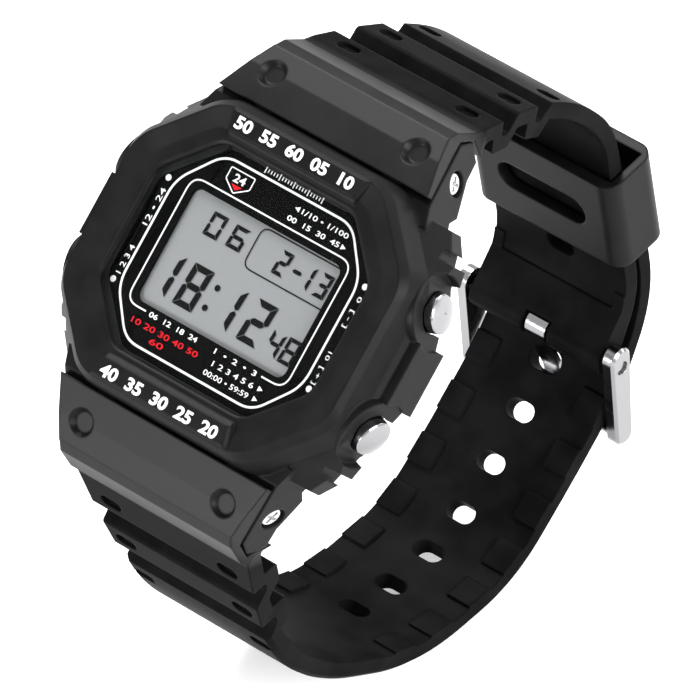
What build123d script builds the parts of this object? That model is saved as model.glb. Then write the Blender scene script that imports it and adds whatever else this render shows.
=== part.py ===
from build123d import *
import os
from math import atan2, cos, degrees, radians, sin, sqrt, tan

# Digital wristwatch, standing on its closed strap with the dial leaning back.
# Built in the watch's own axes: X to 3 o'clock, Y to 12 o'clock, Z out of the dial,
# with the printed dial at height zero. The last step leans the watch back and puts the
# centre of the case back at the origin.

# The watch as a whole
LEAN = 43.7
BACK_DEPTH = 11.5
OVERRUN = 1.0
FIT_GAP = 0.1
RUN_GAP = 0.05
STRAIGHT_TURN = 0.1

# Middle case
CASE_TOP = 1.0
CASE_STEP = -1.8
CASE_HALF_X = 18.0
CASE_HALF_Y = 15.2
CASE_CUT = 6.9
CASE_ROUND = 3.0
CASE_TOP_INSET = 1.2
CASE_TOP_HALF_X = CASE_HALF_X - CASE_TOP_INSET
CASE_TOP_HALF_Y = CASE_HALF_Y - CASE_TOP_INSET
CASE_TOP_CUT = 6.6
CASE_BACK = -10.3
CASE_BACK_TAPER = 0.4
CASE_TAPER_HEIGHT = 1.1
CASE_SIDE_WALL = 3.0
CASE_END_WALL = 3.1
CAVITY_HALF_X = CASE_HALF_X - CASE_SIDE_WALL
CAVITY_HALF_Y = CASE_HALF_Y - CASE_END_WALL
CAVITY_CUT = 7.2
CAVITY_ROUND = 2.0
LUG_GAP_HALF = 8.1
LUG_THICK = 2.4
BAR_PIVOT_OUT = 7.2
BAR_PIVOT_Y = CASE_HALF_Y + BAR_PIVOT_OUT
BAR_PIVOT_Z = -8.0

# Bezel
RIM_TOP = 2.0
RIM_OUT_X = 0.9
RIM_OUT_Y = 1.0
RIM_HALF_X = CASE_HALF_X + RIM_OUT_X
RIM_HALF_Y = CASE_HALF_Y + RIM_OUT_Y
RIM_CUT = 7.9
RIM_ROUND = 5.0
RIM_DISH = 0.55
RIM_BAND = 1.0
RIM_BAND_OUT = 0.6
WALL_OUT_X = 0.9
WALL_OUT_Y = 0.4
WALL_FOOT = -1.6
BEZEL_FOOT = -6.6
BEVEL_WIDTH = 1.3
LIP_TOP = 1.3
RIM_FACE_SIDE = 2.4
RIM_FACE_END = 2.55
OPENING_HALF_X = RIM_HALF_X - RIM_FACE_SIDE - BEVEL_WIDTH
OPENING_HALF_Y = RIM_HALF_Y - RIM_FACE_END - BEVEL_WIDTH
OPENING_CUT = 6.0
OPENING_ROUND = 3.0
BAR_HALF_LENGTH = 9.8
BAR_END_SLOPE = 0.9
BAR_RISE = 0.3
BAR_EDGE = 0.35
BAR_FOOT_DEPTH = 0.6

# Side guards of the bezel, with the seats of the buttons
SEAT_OUT = 2.4
BUTTON_X = CASE_HALF_X + SEAT_OUT
GUARD_OUT = 1.6
GUARD_HALF_X = BUTTON_X + GUARD_OUT
GUARD_TOP = -2.2
GUARD_FOOT = -7.6
GUARD_FLAT_HALF = 3.7
GUARD_END_OUT = 0.4
GUARD_END = CASE_HALF_Y + GUARD_END_OUT
GUARD_STEP_TOP = -1.5
GUARD_ROOF_WIDTH = 2.0
GUARD_ROOF_DROP = 3.6
FLANK_START = 3.0
FLANK_WIDTH = 1.2
FLANK_RISE = 1.3
FLANK_SLOPE = 0.5
GROOVE_WIDTH = 1.2
GROOVE_DEPTH = 0.9
END_BLOCK_SLOPE = 1.5
SEAT_RADIUS = 4.2
SEAT_NOTCH_HALF = 2.15

# Buttons, measured along their splayed axes from the seat's face
BUTTON_SPLAY = 17.0
BUTTON_Y = 7.2
BUTTON_Z = -4.2
BUTTON_TRAVEL = 0.8
CAP_RADIUS = 2.2
CAP_RUN_GAP = 0.15
CAP_RISE = 1.0
CAP_DEPTH = 0.9
CAP_DOME = 0.45
CAP_EDGE = 0.15
STEM_RADIUS = 0.75
STEM_LENGTH = 6.5
STEM_END_GAP = 0.1
CLIP_RADIUS = 1.5
CLIP_THICK = 0.2
CLIP_GROOVE = 0.25
CLIP_SEAT = 5.9
CLIP_SEAT_GAP = 0.15
SEAL_WIRE = 0.25
SEAL_GAP = 0.04
SEAL_PLACE = -4.9
SPRING_WIRE = 0.12
SPRING_RADIUS = 1.45
SPRING_TURNS = 5
SPRING_POCKET_RADIUS = 1.75
SPRING_POCKET_DEPTH = 1.4

# Ears of the bezel and their screws
EAR_INNER_X = 10.6
EAR_SLOPE = 20.6
EAR_ROOT_OUT = 1.3
EAR_ROOT_Y = CASE_HALF_Y + EAR_ROOT_OUT
EAR_ROOT_X = 15.3
EAR_SCREW_BACK = 2.2
EAR_SCREW_Y = BAR_PIVOT_Y - EAR_SCREW_BACK
EAR_SCREW_Z = -6.5
SCREW_HEAD_RADIUS = 1.35
SCREW_HEAD_THICK = 0.8
SCREW_SINK = 0.25
SCREW_SHANK_RADIUS = 0.65
SCREW_LENGTH = 5.4
CROSS_LENGTH = 1.7
CROSS_WIDTH = 0.36
CROSS_DEPTH = 0.4

# Crystal, gasket and face plate
CRYSTAL_LAP = 0.4
CRYSTAL_HALF_X = OPENING_HALF_X + CRYSTAL_LAP
CRYSTAL_HALF_Y = OPENING_HALF_Y + CRYSTAL_LAP
CRYSTAL_THICK = 1.0
CRYSTAL_CUT = 6.15
CRYSTAL_EDGE = 0.15
GASKET_THICK = 0.4
GASKET_SHORT = 0.05
PLATE_THICK = 0.5
PLATE_CUT = 6.2
WINDOW_INSET_X = 4.7
WINDOW_INSET_Y = 5.6
WINDOW_HALF_X = OPENING_HALF_X - WINDOW_INSET_X
WINDOW_HALF_Y = OPENING_HALF_Y - WINDOW_INSET_Y
WINDOW_ROUND = 1.0

# Module
DISPLAY_LAP_X = 0.7
DISPLAY_LAP_Y = 0.85
DISPLAY_HALF_X = WINDOW_HALF_X + DISPLAY_LAP_X
DISPLAY_HALF_Y = WINDOW_HALF_Y + DISPLAY_LAP_Y
DISPLAY_THICK = 1.5
BACKLIGHT_INSET = 1.7
BACKLIGHT_HALF_Y = DISPLAY_HALF_Y - BACKLIGHT_INSET
BACKLIGHT_THICK = 0.3
CONNECTOR_INSET = 2.2
CONNECTOR_HALF = DISPLAY_HALF_X - CONNECTOR_INSET
CONNECTOR_WIDTH = 1.1
FRAME_PLAY = 0.3
FRAME_HALF_X = CAVITY_HALF_X - FRAME_PLAY
FRAME_HALF_Y = CAVITY_HALF_Y - FRAME_PLAY
FRAME_CUT = 7.1
FRAME_STEP = -2.6
FRAME_LOW_INSET_X = 2.1
FRAME_LOW_INSET_Y = 0.9
FRAME_LOW_HALF_X = FRAME_HALF_X - FRAME_LOW_INSET_X
FRAME_LOW_HALF_Y = FRAME_HALF_Y - FRAME_LOW_INSET_Y
FRAME_LOW_CUT = 4.6
FRAME_BACK = -8.7
FRAME_ROUND = 1.0
FRAME_SIDE_WALL = 1.1
FRAME_END_WALL = 0.9
BOARD_TOP = -3.6
BOARD_PAST_BATTERY = 1.5
BATTERY_RADIUS = min(
    FRAME_LOW_HALF_X - FRAME_SIDE_WALL - BOARD_PAST_BATTERY, FRAME_LOW_HALF_Y - FRAME_END_WALL)
BOARD_HALF_X = BATTERY_RADIUS + BOARD_PAST_BATTERY
BOARD_THICK = 0.8
POST_INSET = 2.5
POST_X = BOARD_HALF_X - POST_INSET
POST_RADIUS = 0.8
CHIP_SIDE = 5.6
CHIP_THICK = 0.9
CHIP_X = -3.6
QUARTZ_RADIUS = 0.65
QUARTZ_LENGTH = 5.0
QUARTZ_X = 4.5
QUARTZ_ROUND = 0.2
BATTERY_THICK = 2.5
BATTERY_TOP = -5.9
BATTERY_EDGE = 0.4
BATTERY_RING_WIDTH = 1.2
CLAMP_THICK = 0.2
CLAMP_WIDTH = 5.0
CLAMP_END_GAP = 0.2
CLAMP_HALF_LENGTH = BOARD_HALF_X - CLAMP_END_GAP
CLAMP_HOOK = 2.2
CLAMP_TAB = 0.8
CONTACT_THICK = 0.2
CONTACT_WIDTH = 2.6
CONTACT_HEIGHT = 1.7
CONTACT_FOOT = 1.6
EARTH_SPRING_X = 10.2
EARTH_SPRING_Y = 3.3
EARTH_SPRING_RADIUS = 0.45
EARTH_SPRING_WIRE = 0.1
EARTH_SPRING_TURNS = 8

# Back
COVER_INSET = 0.9
COVER_HALF_X = CASE_HALF_X - COVER_INSET
COVER_HALF_Y = CASE_HALF_Y - COVER_INSET
COVER_CUT = 5.8
COVER_EDGE = 0.3
COVER_PLUG_HEIGHT = 0.6
BACK_GASKET_INSET = 2.0
BACK_GASKET_HALF_X = CASE_HALF_X - BACK_GASKET_INSET
BACK_GASKET_HALF_Y = CASE_HALF_Y - BACK_GASKET_INSET
BACK_GASKET_CUT = 7.4
BACK_GASKET_WIDTH = 0.6
BACK_GASKET_THICK = 0.45
BACK_SCREW_INSET_X = 6.2
BACK_SCREW_INSET_Y = 3.4
BACK_SCREW_X = CASE_HALF_X - BACK_SCREW_INSET_X
BACK_SCREW_Y = CASE_HALF_Y - BACK_SCREW_INSET_Y
BACK_SCREW_HEAD = 1.15
BACK_SCREW_THICK = 0.6
BACK_SCREW_LENGTH = 4.0
BUZZER_RADIUS = 9.0
BUZZER_THICK = 0.2
BUZZER_CERAMIC_RADIUS = 6.5
BUZZER_CERAMIC_THICK = 0.15

# Spring bars
BAR_RADIUS = 0.75
BAR_TIP_RADIUS = 0.4
BAR_TIP_LENGTH = 1.3
BAR_END_GAP = 0.1

# Strap, common to both halves
STRAP_BARREL_RADIUS = 1.9
TONGUE_HALF = 8.0
NECK_DEPTH = 3.5
NECK_LENGTH = 0.7
HOOD_SIDE_GAP = 0.12
STRAP_EDGE = 0.5
DIMPLE_BACK = 1.12
DIMPLE_Y = BAR_PIVOT_Y - DIMPLE_BACK
DIMPLE_RADIUS = 1.7
DIMPLE_FLOOR_RADIUS = 1.1
DIMPLE_DEPTH = 0.75
RIB_PITCH = 7.2
RIB_VALLEY = 2.1
RIB_COUNT = 2
RIB_ROUND = 0.55
RIB_OUTER_SHARES = [(0.0, 0.0), (0.07, 1.0), (0.24, 1.0), (0.42, 0.0)]
RIB_INNER_SHARES = [(-0.17, 0.0), (-0.1, 1.0), (0.36, 1.0), (0.5, 0.0)]
RIB_SLOT_LENGTH = 2.9
RIB_SLOT_WIDTH = 1.7
RIB_SLOT_DEPTH = 0.5
RIB_SLOT_SHARE = 0.71
STRAP_HEAD_HALF = 12.3
STRAP_MID_HALF = 10.6
STRAP_TAIL_HALF = 9.4
RIB_SLOT_INSET = 2.2
RIB_SLOT_X = STRAP_MID_HALF - RIB_SLOT_INSET
DIMPLE_INSET = 2.14
DIMPLE_X = STRAP_HEAD_HALF - DIMPLE_INSET
STRAP_HEAD_Z = -9.4
STRAP_MID_Z = -21.0
STRAP_TAIL_Z = -40.0
LOOP_OUT = 11.8
LOOP_HALF = BAR_PIVOT_Y + LOOP_OUT
LOOP_DEPTH = 67.2
RUN_SHARE = 0.45

# Short half, with the buckle
SHORT_THICK = 1.9
SHORT_LAND = 3.3
SHORT_BARREL_RADIUS = 1.75
SHORT_NOTCH_HALF = 1.9
SHORT_PANEL_PLACE = 55.2
SHORT_PANEL_LENGTH = 5.0
SHORT_PANEL_HALF = 8.0
SHORT_PANEL_RISE = 0.25
SHORT_NOTCH_GAP = 0.35
SHORT_HOLE_PLACE = 9.6
SHORT_RAMP = 6.0
SHORT_PATH_SHARES = [
    (0.787, -0.138), (0.926, -0.263), (1.006, -0.402),
    (0.994, -0.556), (0.576, -0.882), (0.346, -0.925)]

# Long half, with the holes
LONG_THICK = 2.2
LONG_LAND = 5.9
HOLE_PITCH = 6.7
HOLE_ACROSS = 3.9
HOLE_ALONG = 2.3
PRONG_HOLE_ACROSS = 4.4
PRONG_HOLE_ALONG = 2.8
HOLES_BEFORE_PRONG = 6
HOLES_PAST_PRONG = 2
PRONG_HOLE_PLACE = 89.4
PAD_LENGTH = 3.5
PAD_WIDTH = 3.3
PAD_BEFORE_HOLE = 2.45
PAD_HEIGHT = 0.35
TIP_ROUND = 6.0
LAYER_GAP = 0.5
TAIL_PAST_KEEPER = 5.8
TAIL_TURN = 15.5
LONG_PATH_SHARES = [
    (-0.757, -0.135), (-0.901, -0.281), (-1.005, -0.432), (-0.999, -0.603),
    (-0.833, -0.839), (-0.454, -0.988), (-0.088, -1.000), (0.249, -1.000)]

# Keeper
KEEPER_LENGTH = 12.6
KEEPER_WALL = 1.3
KEEPER_SIDE = 1.0
KEEPER_PLAY = 0.3
KEEPER_PLACE = 13.0
KEEPER_SLOT_LENGTH = 12.6
KEEPER_SLOT_WIDTH = 4.0
KEEPER_ROUND = 2.0

# Buckle
BUCKLE_PIN_RADIUS = 0.8
BUCKLE_SIDE_GAP = 0.6
BUCKLE_INNER_HALF = STRAP_TAIL_HALF + BUCKLE_SIDE_GAP
BUCKLE_ARM_THICK = 1.5
BUCKLE_EYE_RADIUS = 1.6
BUCKLE_EYE_PAST = 0.9
BUCKLE_END_RADIUS = 1.35
BUCKLE_EDGE = 0.3
BUCKLE_BAR_RADIUS = 0.85
BUCKLE_BAR_GAP = 0.25
BUCKLE_BAR_BEHIND = 3.5
PRONG_HALF_WIDTH = 1.4
PRONG_THICK = 0.7
PRONG_SHARES = [(-0.19, 0.0), (-0.575, -0.915), (-0.83, -1.175), (-1.2, -1.175)]

# Outlines of the strap's head, as shares of the place of the spring bar
HOOD_TOP_SHARES = [(0.781, 0.125), (0.951, 0.262), (1.071, 0.412), (1.116, 0.562), (1.161, 0.975)]
HOOD_UNDER_SHARES = [(1.123, 1.019), (1.083, 0.712), (1.049, 0.588), (0.937, 0.425), (0.781, 0.256)]
HOOD_SIDE_SHARES = [(1.083, 0.725), (0.781, 0.256)]
LEDGE_SHARES = [(0.688, 0.275), (0.770, 0.275), (0.817, 0.325), (0.817, 0.390), (0.688, 0.390)]
NECK_SHARES = [(1.100, 1.312), (1.000, 1.240), (1.000, 0.765), (1.110, 0.840)]
EAR_SHARES = [
    (0.647, 0.215), (0.748, 0.215), (1.071, 0.738), (1.112, 1.025),
    (1.036, 1.225), (0.938, 1.075), (0.759, 1.000), (0.723, 0.825), (0.647, 0.825)]
LUG_SHARES = [
    (0.647, 0.315), (0.781, 0.315), (0.933, 0.465), (1.040, 0.628), (1.071, 0.740),
    (1.106, 1.010), (1.040, 1.250), (0.937, 1.237), (0.647, 1.237)]


def octagon(half_x, half_y, cut, rounding, height=0.0):
    """Level octagon with rounded corners."""
    flat_x = half_x - cut
    flat_y = half_y - cut
    corners = [
        (half_x, -flat_y), (half_x, flat_y), (flat_x, half_y), (-flat_x, half_y),
        (-half_x, flat_y), (-half_x, -flat_y), (-flat_x, -half_y), (flat_x, -half_y)]
    face = make_face(Polyline(*corners, close=True))
    return Pos(0, 0, height) * fillet(face.vertices(), rounding)


def slab(half_x, half_y, cut, rounding, low, high):
    """Upright octagonal block between two heights."""
    return extrude(octagon(half_x, half_y, cut, rounding, low), high - low, dir=(0, 0, 1))


def block(x_low, x_high, y_low, y_high, z_low, z_high):
    """Box between two corners."""
    size = Box(x_high - x_low, y_high - y_low, z_high - z_low)
    return Pos((x_low + x_high) / 2, (y_low + y_high) / 2, (z_low + z_high) / 2) * size


def plan(points, low, high):
    """Upright block on a plan outline of (x, y) points."""
    face = make_face(Polyline(*points, close=True))
    return extrude(Pos(0, 0, low) * face, high - low, dir=(0, 0, 1))


def side(points, x_low, x_high):
    """Block with a side outline of (y, z) points, between two places on X."""
    corners = [(x_low, y, z) for y, z in points]
    face = make_face(Polyline(*corners, close=True))
    return extrude(face, x_high - x_low, dir=(1, 0, 0))


def at_bar(shares):
    """Side outline given as shares of the spring bar's place."""
    return [(y * BAR_PIVOT_Y, z * BAR_PIVOT_Z) for y, z in shares]


def both_ends(shape):
    """The shape at 12 o'clock and its mirror image at 6 o'clock."""
    return shape + mirror(shape, about=Plane.XZ)


def both_sides(shape):
    """The shape at 3 o'clock and its mirror image at 9 o'clock."""
    return shape + mirror(shape, about=Plane.YZ)


def joined(shapes):
    """Separate pieces as one part."""
    part = shapes[0]
    for shape in shapes[1:]:
        part += shape
    return part


def button_place(right, upper):
    """Frame of a button: its axis is Z outwards, and the seat's face is at height zero."""
    turn = radians(BUTTON_SPLAY)
    axis = (right * cos(turn), upper * sin(turn), 0)
    origin = (right * BUTTON_X, upper * BUTTON_Y, BUTTON_Z)
    return Location(Plane(origin=origin, x_dir=(0, 0, 1), z_dir=axis))


def on_buttons(shape):
    """The shape at all four buttons."""
    return [button_place(right, upper) * shape for right in (1, -1) for upper in (1, -1)]


def post(radius, low, high):
    """Round post on the Z axis between two heights."""
    return Pos(0, 0, (low + high) / 2) * Cylinder(radius, high - low)


def case_wall_depth(half_x):
    """Depth along a button's axis of an upright wall at this half width."""
    return (half_x - BUTTON_X) / cos(radians(BUTTON_SPLAY))


def ear_plan(gap):
    """Plan outline that the ears and the hood's sides keep to at 12 o'clock, on the right."""
    lean = tan(radians(EAR_SLOPE))
    front = BAR_PIVOT_Y * HOOD_TOP_SHARES[-1][0] + OVERRUN
    back = CASE_TOP_HALF_Y - OVERRUN
    return [
        (EAR_INNER_X, back), (EAR_ROOT_X - gap + (EAR_ROOT_Y - back) * lean, back),
        (EAR_ROOT_X - gap - (front - EAR_ROOT_Y) * lean, front), (EAR_INNER_X, front)]


def ear_screw_place():
    """Frame of the upper right ear's screw: Z outwards, the ear's face at height zero."""
    turn = radians(EAR_SLOPE)
    x = EAR_ROOT_X - (EAR_SCREW_Y - EAR_ROOT_Y) * tan(turn)
    axis = (cos(turn), sin(turn), 0)
    return Location(Plane(origin=(x, EAR_SCREW_Y, EAR_SCREW_Z), x_dir=(0, 0, 1), z_dir=axis))


def cross_recess():
    """Cross slot of a screw's head, cut down from height zero."""
    bar = Box(CROSS_LENGTH, CROSS_WIDTH, 2 * CROSS_DEPTH)
    return bar + Rot(0, 0, 90) * bar


def bezel_body():
    """Outside of the bezel: rim, band, sloped wall and the block that the case fills."""
    band_x = RIM_HALF_X + RIM_BAND_OUT
    band_y = RIM_HALF_Y + RIM_BAND_OUT
    wall_x = band_x + WALL_OUT_X
    wall_y = band_y + WALL_OUT_Y
    band_low = RIM_TOP - RIM_BAND
    top = octagon(RIM_HALF_X, RIM_HALF_Y, RIM_CUT, RIM_ROUND, RIM_TOP)
    middle = octagon(band_x, band_y, RIM_CUT, RIM_ROUND, band_low)
    foot = octagon(wall_x, wall_y, RIM_CUT, RIM_ROUND, WALL_FOOT)
    body = loft([middle, top], ruled=True) + loft([foot, middle], ruled=True)
    return body + slab(wall_x, wall_y, RIM_CUT, RIM_ROUND, BEZEL_FOOT, WALL_FOOT)


def bezel_opening():
    """Dished rim face, bevel and straight lip round the crystal, as a cutter."""
    inner_x = OPENING_HALF_X + BEVEL_WIDTH
    inner_y = OPENING_HALF_Y + BEVEL_WIDTH
    dish_low = RIM_TOP - RIM_DISH
    rim = octagon(RIM_HALF_X, RIM_HALF_Y, RIM_CUT, RIM_ROUND, RIM_TOP)
    floor = octagon(inner_x, inner_y, OPENING_CUT, OPENING_ROUND, dish_low)
    dish = loft([floor, rim], ruled=True)
    cover = slab(RIM_HALF_X, RIM_HALF_Y, RIM_CUT, RIM_ROUND, RIM_TOP, RIM_TOP + OVERRUN)
    return dish + cover


def bezel_bevel():
    """Bevel down to the crystal's opening, and the opening itself, as a cutter."""
    inner_x = OPENING_HALF_X + BEVEL_WIDTH
    inner_y = OPENING_HALF_Y + BEVEL_WIDTH
    top = octagon(inner_x, inner_y, OPENING_CUT, OPENING_ROUND, RIM_TOP)
    low = octagon(OPENING_HALF_X, OPENING_HALF_Y, OPENING_CUT, OPENING_ROUND, LIP_TOP)
    above = slab(inner_x, inner_y, OPENING_CUT, OPENING_ROUND, RIM_TOP, RIM_TOP + OVERRUN)
    through = slab(
        OPENING_HALF_X, OPENING_HALF_Y, OPENING_CUT, OPENING_ROUND, CASE_TOP - OVERRUN, LIP_TOP)
    return loft([low, top], ruled=True) + above + through


def title_bar():
    """Raised bar across the rim at 12 o'clock."""
    foot = RIM_TOP - BAR_FOOT_DEPTH
    inner_y = OPENING_HALF_Y + BEVEL_WIDTH
    inner_half = BAR_HALF_LENGTH - BAR_END_SLOPE
    corners = [
        (-inner_half, inner_y - OVERRUN / 2), (inner_half, inner_y - OVERRUN / 2),
        (BAR_HALF_LENGTH, RIM_HALF_Y), (-BAR_HALF_LENGTH, RIM_HALF_Y)]
    bar = plan(corners, foot, RIM_TOP + BAR_RISE)
    return chamfer(bar.faces().sort_by(Axis.Z)[-1].edges(), BAR_EDGE)


def guard_outline():
    """Plan of the right guard: the button seats' faces with the grip steps beside them."""
    lean = tan(radians(BUTTON_SPLAY))

    def seat_x(y):
        return BUTTON_X - (y - BUTTON_Y) * lean

    seat_end = BUTTON_Y + SEAT_RADIUS * cos(radians(BUTTON_SPLAY))
    flank_start = BUTTON_Y + FLANK_START
    groove = seat_end + FLANK_WIDTH
    end_block = groove + GROOVE_WIDTH
    inner_x = CASE_HALF_X - OVERRUN
    flank_x = seat_x(seat_end) + FLANK_RISE
    upper = [
        (GUARD_HALF_X, GUARD_FLAT_HALF), (seat_x(GUARD_FLAT_HALF), GUARD_FLAT_HALF),
        (seat_x(flank_start), flank_start), (flank_x, flank_start),
        (flank_x - FLANK_SLOPE, groove), (seat_x(groove) - GROOVE_DEPTH / 4, groove),
        (seat_x(end_block) - GROOVE_DEPTH / 4, end_block),
        (seat_x(end_block) + GROOVE_DEPTH / 2, end_block),
        (seat_x(end_block) + GROOVE_DEPTH / 2 - END_BLOCK_SLOPE, GUARD_END),
        (inner_x - END_BLOCK_SLOPE, GUARD_END)]
    lower = [(x, -y) for x, y in reversed(upper)]
    return lower + upper


def guard_roof():
    """Room for the guards' grip band under a top that slopes down from the bezel's wall."""
    wall_x = RIM_HALF_X + RIM_BAND_OUT + WALL_OUT_X
    wall_y = RIM_HALF_Y + RIM_BAND_OUT + WALL_OUT_Y
    far_x, far_y = wall_x + GUARD_ROOF_WIDTH, wall_y + GUARD_ROOF_WIDTH
    eaves = GUARD_STEP_TOP - GUARD_ROOF_DROP
    high = octagon(wall_x, wall_y, RIM_CUT, RIM_ROUND, GUARD_STEP_TOP)
    low = octagon(far_x, far_y, RIM_CUT, RIM_ROUND, eaves)
    return loft([low, high], ruled=True) + slab(far_x, far_y, RIM_CUT, RIM_ROUND, BEZEL_FOOT, eaves)


def guard():
    """Right guard: stepped grip band, thicker flat between the buttons and round seats."""
    steps = plan(guard_outline(), BEZEL_FOOT, GUARD_STEP_TOP) & guard_roof()
    inner_x = CASE_HALF_X - OVERRUN
    flat = block(inner_x, GUARD_HALF_X, -GUARD_FLAT_HALF, GUARD_FLAT_HALF, GUARD_FOOT, GUARD_TOP)
    above = block(
        BUTTON_X + FLANK_SLOPE, GUARD_HALF_X + OVERRUN, -GUARD_FLAT_HALF, GUARD_FLAT_HALF,
        GUARD_TOP, GUARD_STEP_TOP + OVERRUN)
    body = steps + flat - above
    puck = post(SEAT_RADIUS, case_wall_depth(CASE_HALF_X), 0)
    drop = BUTTON_Z - BEZEL_FOOT
    puck -= block(-drop - SEAT_RADIUS, -drop, -SEAT_RADIUS, SEAT_RADIUS, -SEAT_RADIUS * 2, OVERRUN)
    clear = post(SEAT_RADIUS, 0, GUARD_HALF_X - BUTTON_X + OVERRUN)
    for upper in (1, -1):
        body += button_place(1, upper) * puck
        body -= button_place(1, upper) * clear
    return body


def button_well():
    """Bore for a button's cap, open at the guard's foot, as a cutter on the button's frame."""
    radius = CAP_RADIUS + CAP_RUN_GAP
    deep = case_wall_depth(CASE_HALF_X) - OVERRUN
    bore = post(radius, deep, OVERRUN)
    drop = BUTTON_Z - GUARD_FOOT + OVERRUN
    slot = Box(drop, 2 * SEAT_NOTCH_HALF, OVERRUN - deep)
    return bore + Pos(-drop / 2, 0, (OVERRUN + deep) / 2) * slot


def ears():
    """Four ears that reach past the lugs."""
    ear = side(at_bar(EAR_SHARES), EAR_INNER_X, GUARD_HALF_X)
    return both_sides(both_ends(ear & plan(ear_plan(0), GUARD_FOOT * 2, RIM_TOP)))


def screw_well():
    """Sunk seat and clearance hole of an ear screw, as a cutter on the screw's frame."""
    seat = post(SCREW_HEAD_RADIUS + FIT_GAP, -SCREW_HEAD_THICK - SCREW_SINK, OVERRUN)
    return seat + post(SCREW_SHANK_RADIUS + RUN_GAP, -SCREW_LENGTH - FIT_GAP, 0)


def ear_screw():
    """One cross-head screw on its own frame."""
    top = -SCREW_SINK
    head = post(SCREW_HEAD_RADIUS, top - SCREW_HEAD_THICK, top)
    head = fillet(head.edges().sort_by(Axis.Z)[-1], SCREW_HEAD_THICK / 2)
    shank = post(SCREW_SHANK_RADIUS, -SCREW_LENGTH, top - SCREW_HEAD_THICK)
    return head + shank - Pos(0, 0, top) * cross_recess()


def case_room(gap):
    """Outside of the middle case without its lugs, grown by a gap."""
    low = slab(
        CASE_HALF_X + gap, CASE_HALF_Y + gap, CASE_CUT, CASE_ROUND, CASE_BACK + CASE_TAPER_HEIGHT,
        CASE_STEP + gap)
    high = slab(
        CASE_TOP_HALF_X + gap, CASE_TOP_HALF_Y + gap, CASE_TOP_CUT, CASE_ROUND, CASE_STEP,
        CASE_TOP + gap / 2)
    return low + high


def end_ledge():
    """Ledge that reaches from the 12 o'clock wall under the strap's hood."""
    half = TONGUE_HALF - FIT_GAP
    return side(at_bar(LEDGE_SHARES), -half, half)


def bezel():
    """Moulded bezel."""
    shell = bezel_body() - bezel_opening()
    shell += both_ends(title_bar())
    shell -= bezel_bevel()
    shell += both_sides(guard()) + ears()
    shell -= case_room(FIT_GAP)
    tunnel = block(
        -EAR_INNER_X, EAR_INNER_X, CASE_HALF_Y, RIM_HALF_Y * 2, GUARD_FOOT * 2,
        BAR_PIVOT_Z * LUG_SHARES[0][1] + FIT_GAP)
    shell -= both_ends(tunnel)
    shell += both_ends(end_ledge())
    for well in on_buttons(button_well()):
        shell -= well
    return shell - both_sides(both_ends(ear_screw_place() * screw_well()))


def grown(half_x, half_y, cut, by):
    """Sizes of an octagon moved outwards by a distance."""
    return half_x + by, half_y + by, cut + by * (2 - sqrt(2))


def lug_screw_hole():
    """Threaded end of an ear screw's hole, as a cutter on the screw's frame."""
    return post(SCREW_SHANK_RADIUS, -SCREW_LENGTH - FIT_GAP, 0)


def stem_bore():
    """Spring pocket, seal recess and bore of a button's stem, as a cutter on its frame."""
    wall = case_wall_depth(CASE_HALF_X)
    pocket = post(SPRING_POCKET_RADIUS, wall - SPRING_POCKET_DEPTH, 0)
    recess_radius = STEM_RADIUS + SEAL_GAP + 2 * SEAL_WIRE
    recess = post(recess_radius, SEAL_PLACE - SEAL_WIRE, SEAL_PLACE + SEAL_WIRE)
    clip_seat = post(CLIP_RADIUS + CLIP_SEAT_GAP, contact_place(), -CLIP_SEAT)
    return pocket + recess + clip_seat + post(STEM_RADIUS + RUN_GAP, -STEM_LENGTH, 0)


def lugs():
    """Four lugs that hold the spring bars."""
    return both_sides(both_ends(side(at_bar(LUG_SHARES), LUG_GAP_HALF, LUG_GAP_HALF + LUG_THICK)))


def bar_hole():
    """Blind holes for both ends of the 12 o'clock spring bar, as a cutter."""
    reach = LUG_GAP_HALF + BAR_TIP_LENGTH + BAR_END_GAP
    bore = Pos(0, BAR_PIVOT_Y, BAR_PIVOT_Z) * Rot(0, 90, 0) * post(
        BAR_TIP_RADIUS + RUN_GAP, -reach, reach)
    return bore


def back_screw_places():
    """Centres of the four back screws in plan."""
    return [(x, y) for x in (BACK_SCREW_X, -BACK_SCREW_X) for y in (BACK_SCREW_Y, -BACK_SCREW_Y)]


def case_inside():
    """Cavity, plate seat and crystal seat of the middle case, as a cutter."""
    cavity = slab(
        CAVITY_HALF_X, CAVITY_HALF_Y, CAVITY_CUT, CAVITY_ROUND, CASE_BACK - OVERRUN, -PLATE_THICK)
    plate = slab(CAVITY_HALF_X, CAVITY_HALF_Y, PLATE_CUT, CAVITY_ROUND, -PLATE_THICK, 0)
    half_x, half_y, cut = grown(CRYSTAL_HALF_X, CRYSTAL_HALF_Y, CRYSTAL_CUT, GASKET_THICK)
    seat = slab(half_x, half_y, cut, CAVITY_ROUND, 0, CASE_TOP + OVERRUN)
    return cavity + plate + seat


def back_gasket():
    """Seal between the case and its cover."""
    half_x, half_y, cut = grown(
        BACK_GASKET_HALF_X, BACK_GASKET_HALF_Y, BACK_GASKET_CUT, -BACK_GASKET_WIDTH)
    top = CASE_BACK + BACK_GASKET_THICK
    ring = slab(
        BACK_GASKET_HALF_X, BACK_GASKET_HALF_Y, BACK_GASKET_CUT, CAVITY_ROUND, CASE_BACK, top)
    return ring - slab(half_x, half_y, cut, CAVITY_ROUND, CASE_BACK, top)


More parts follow.
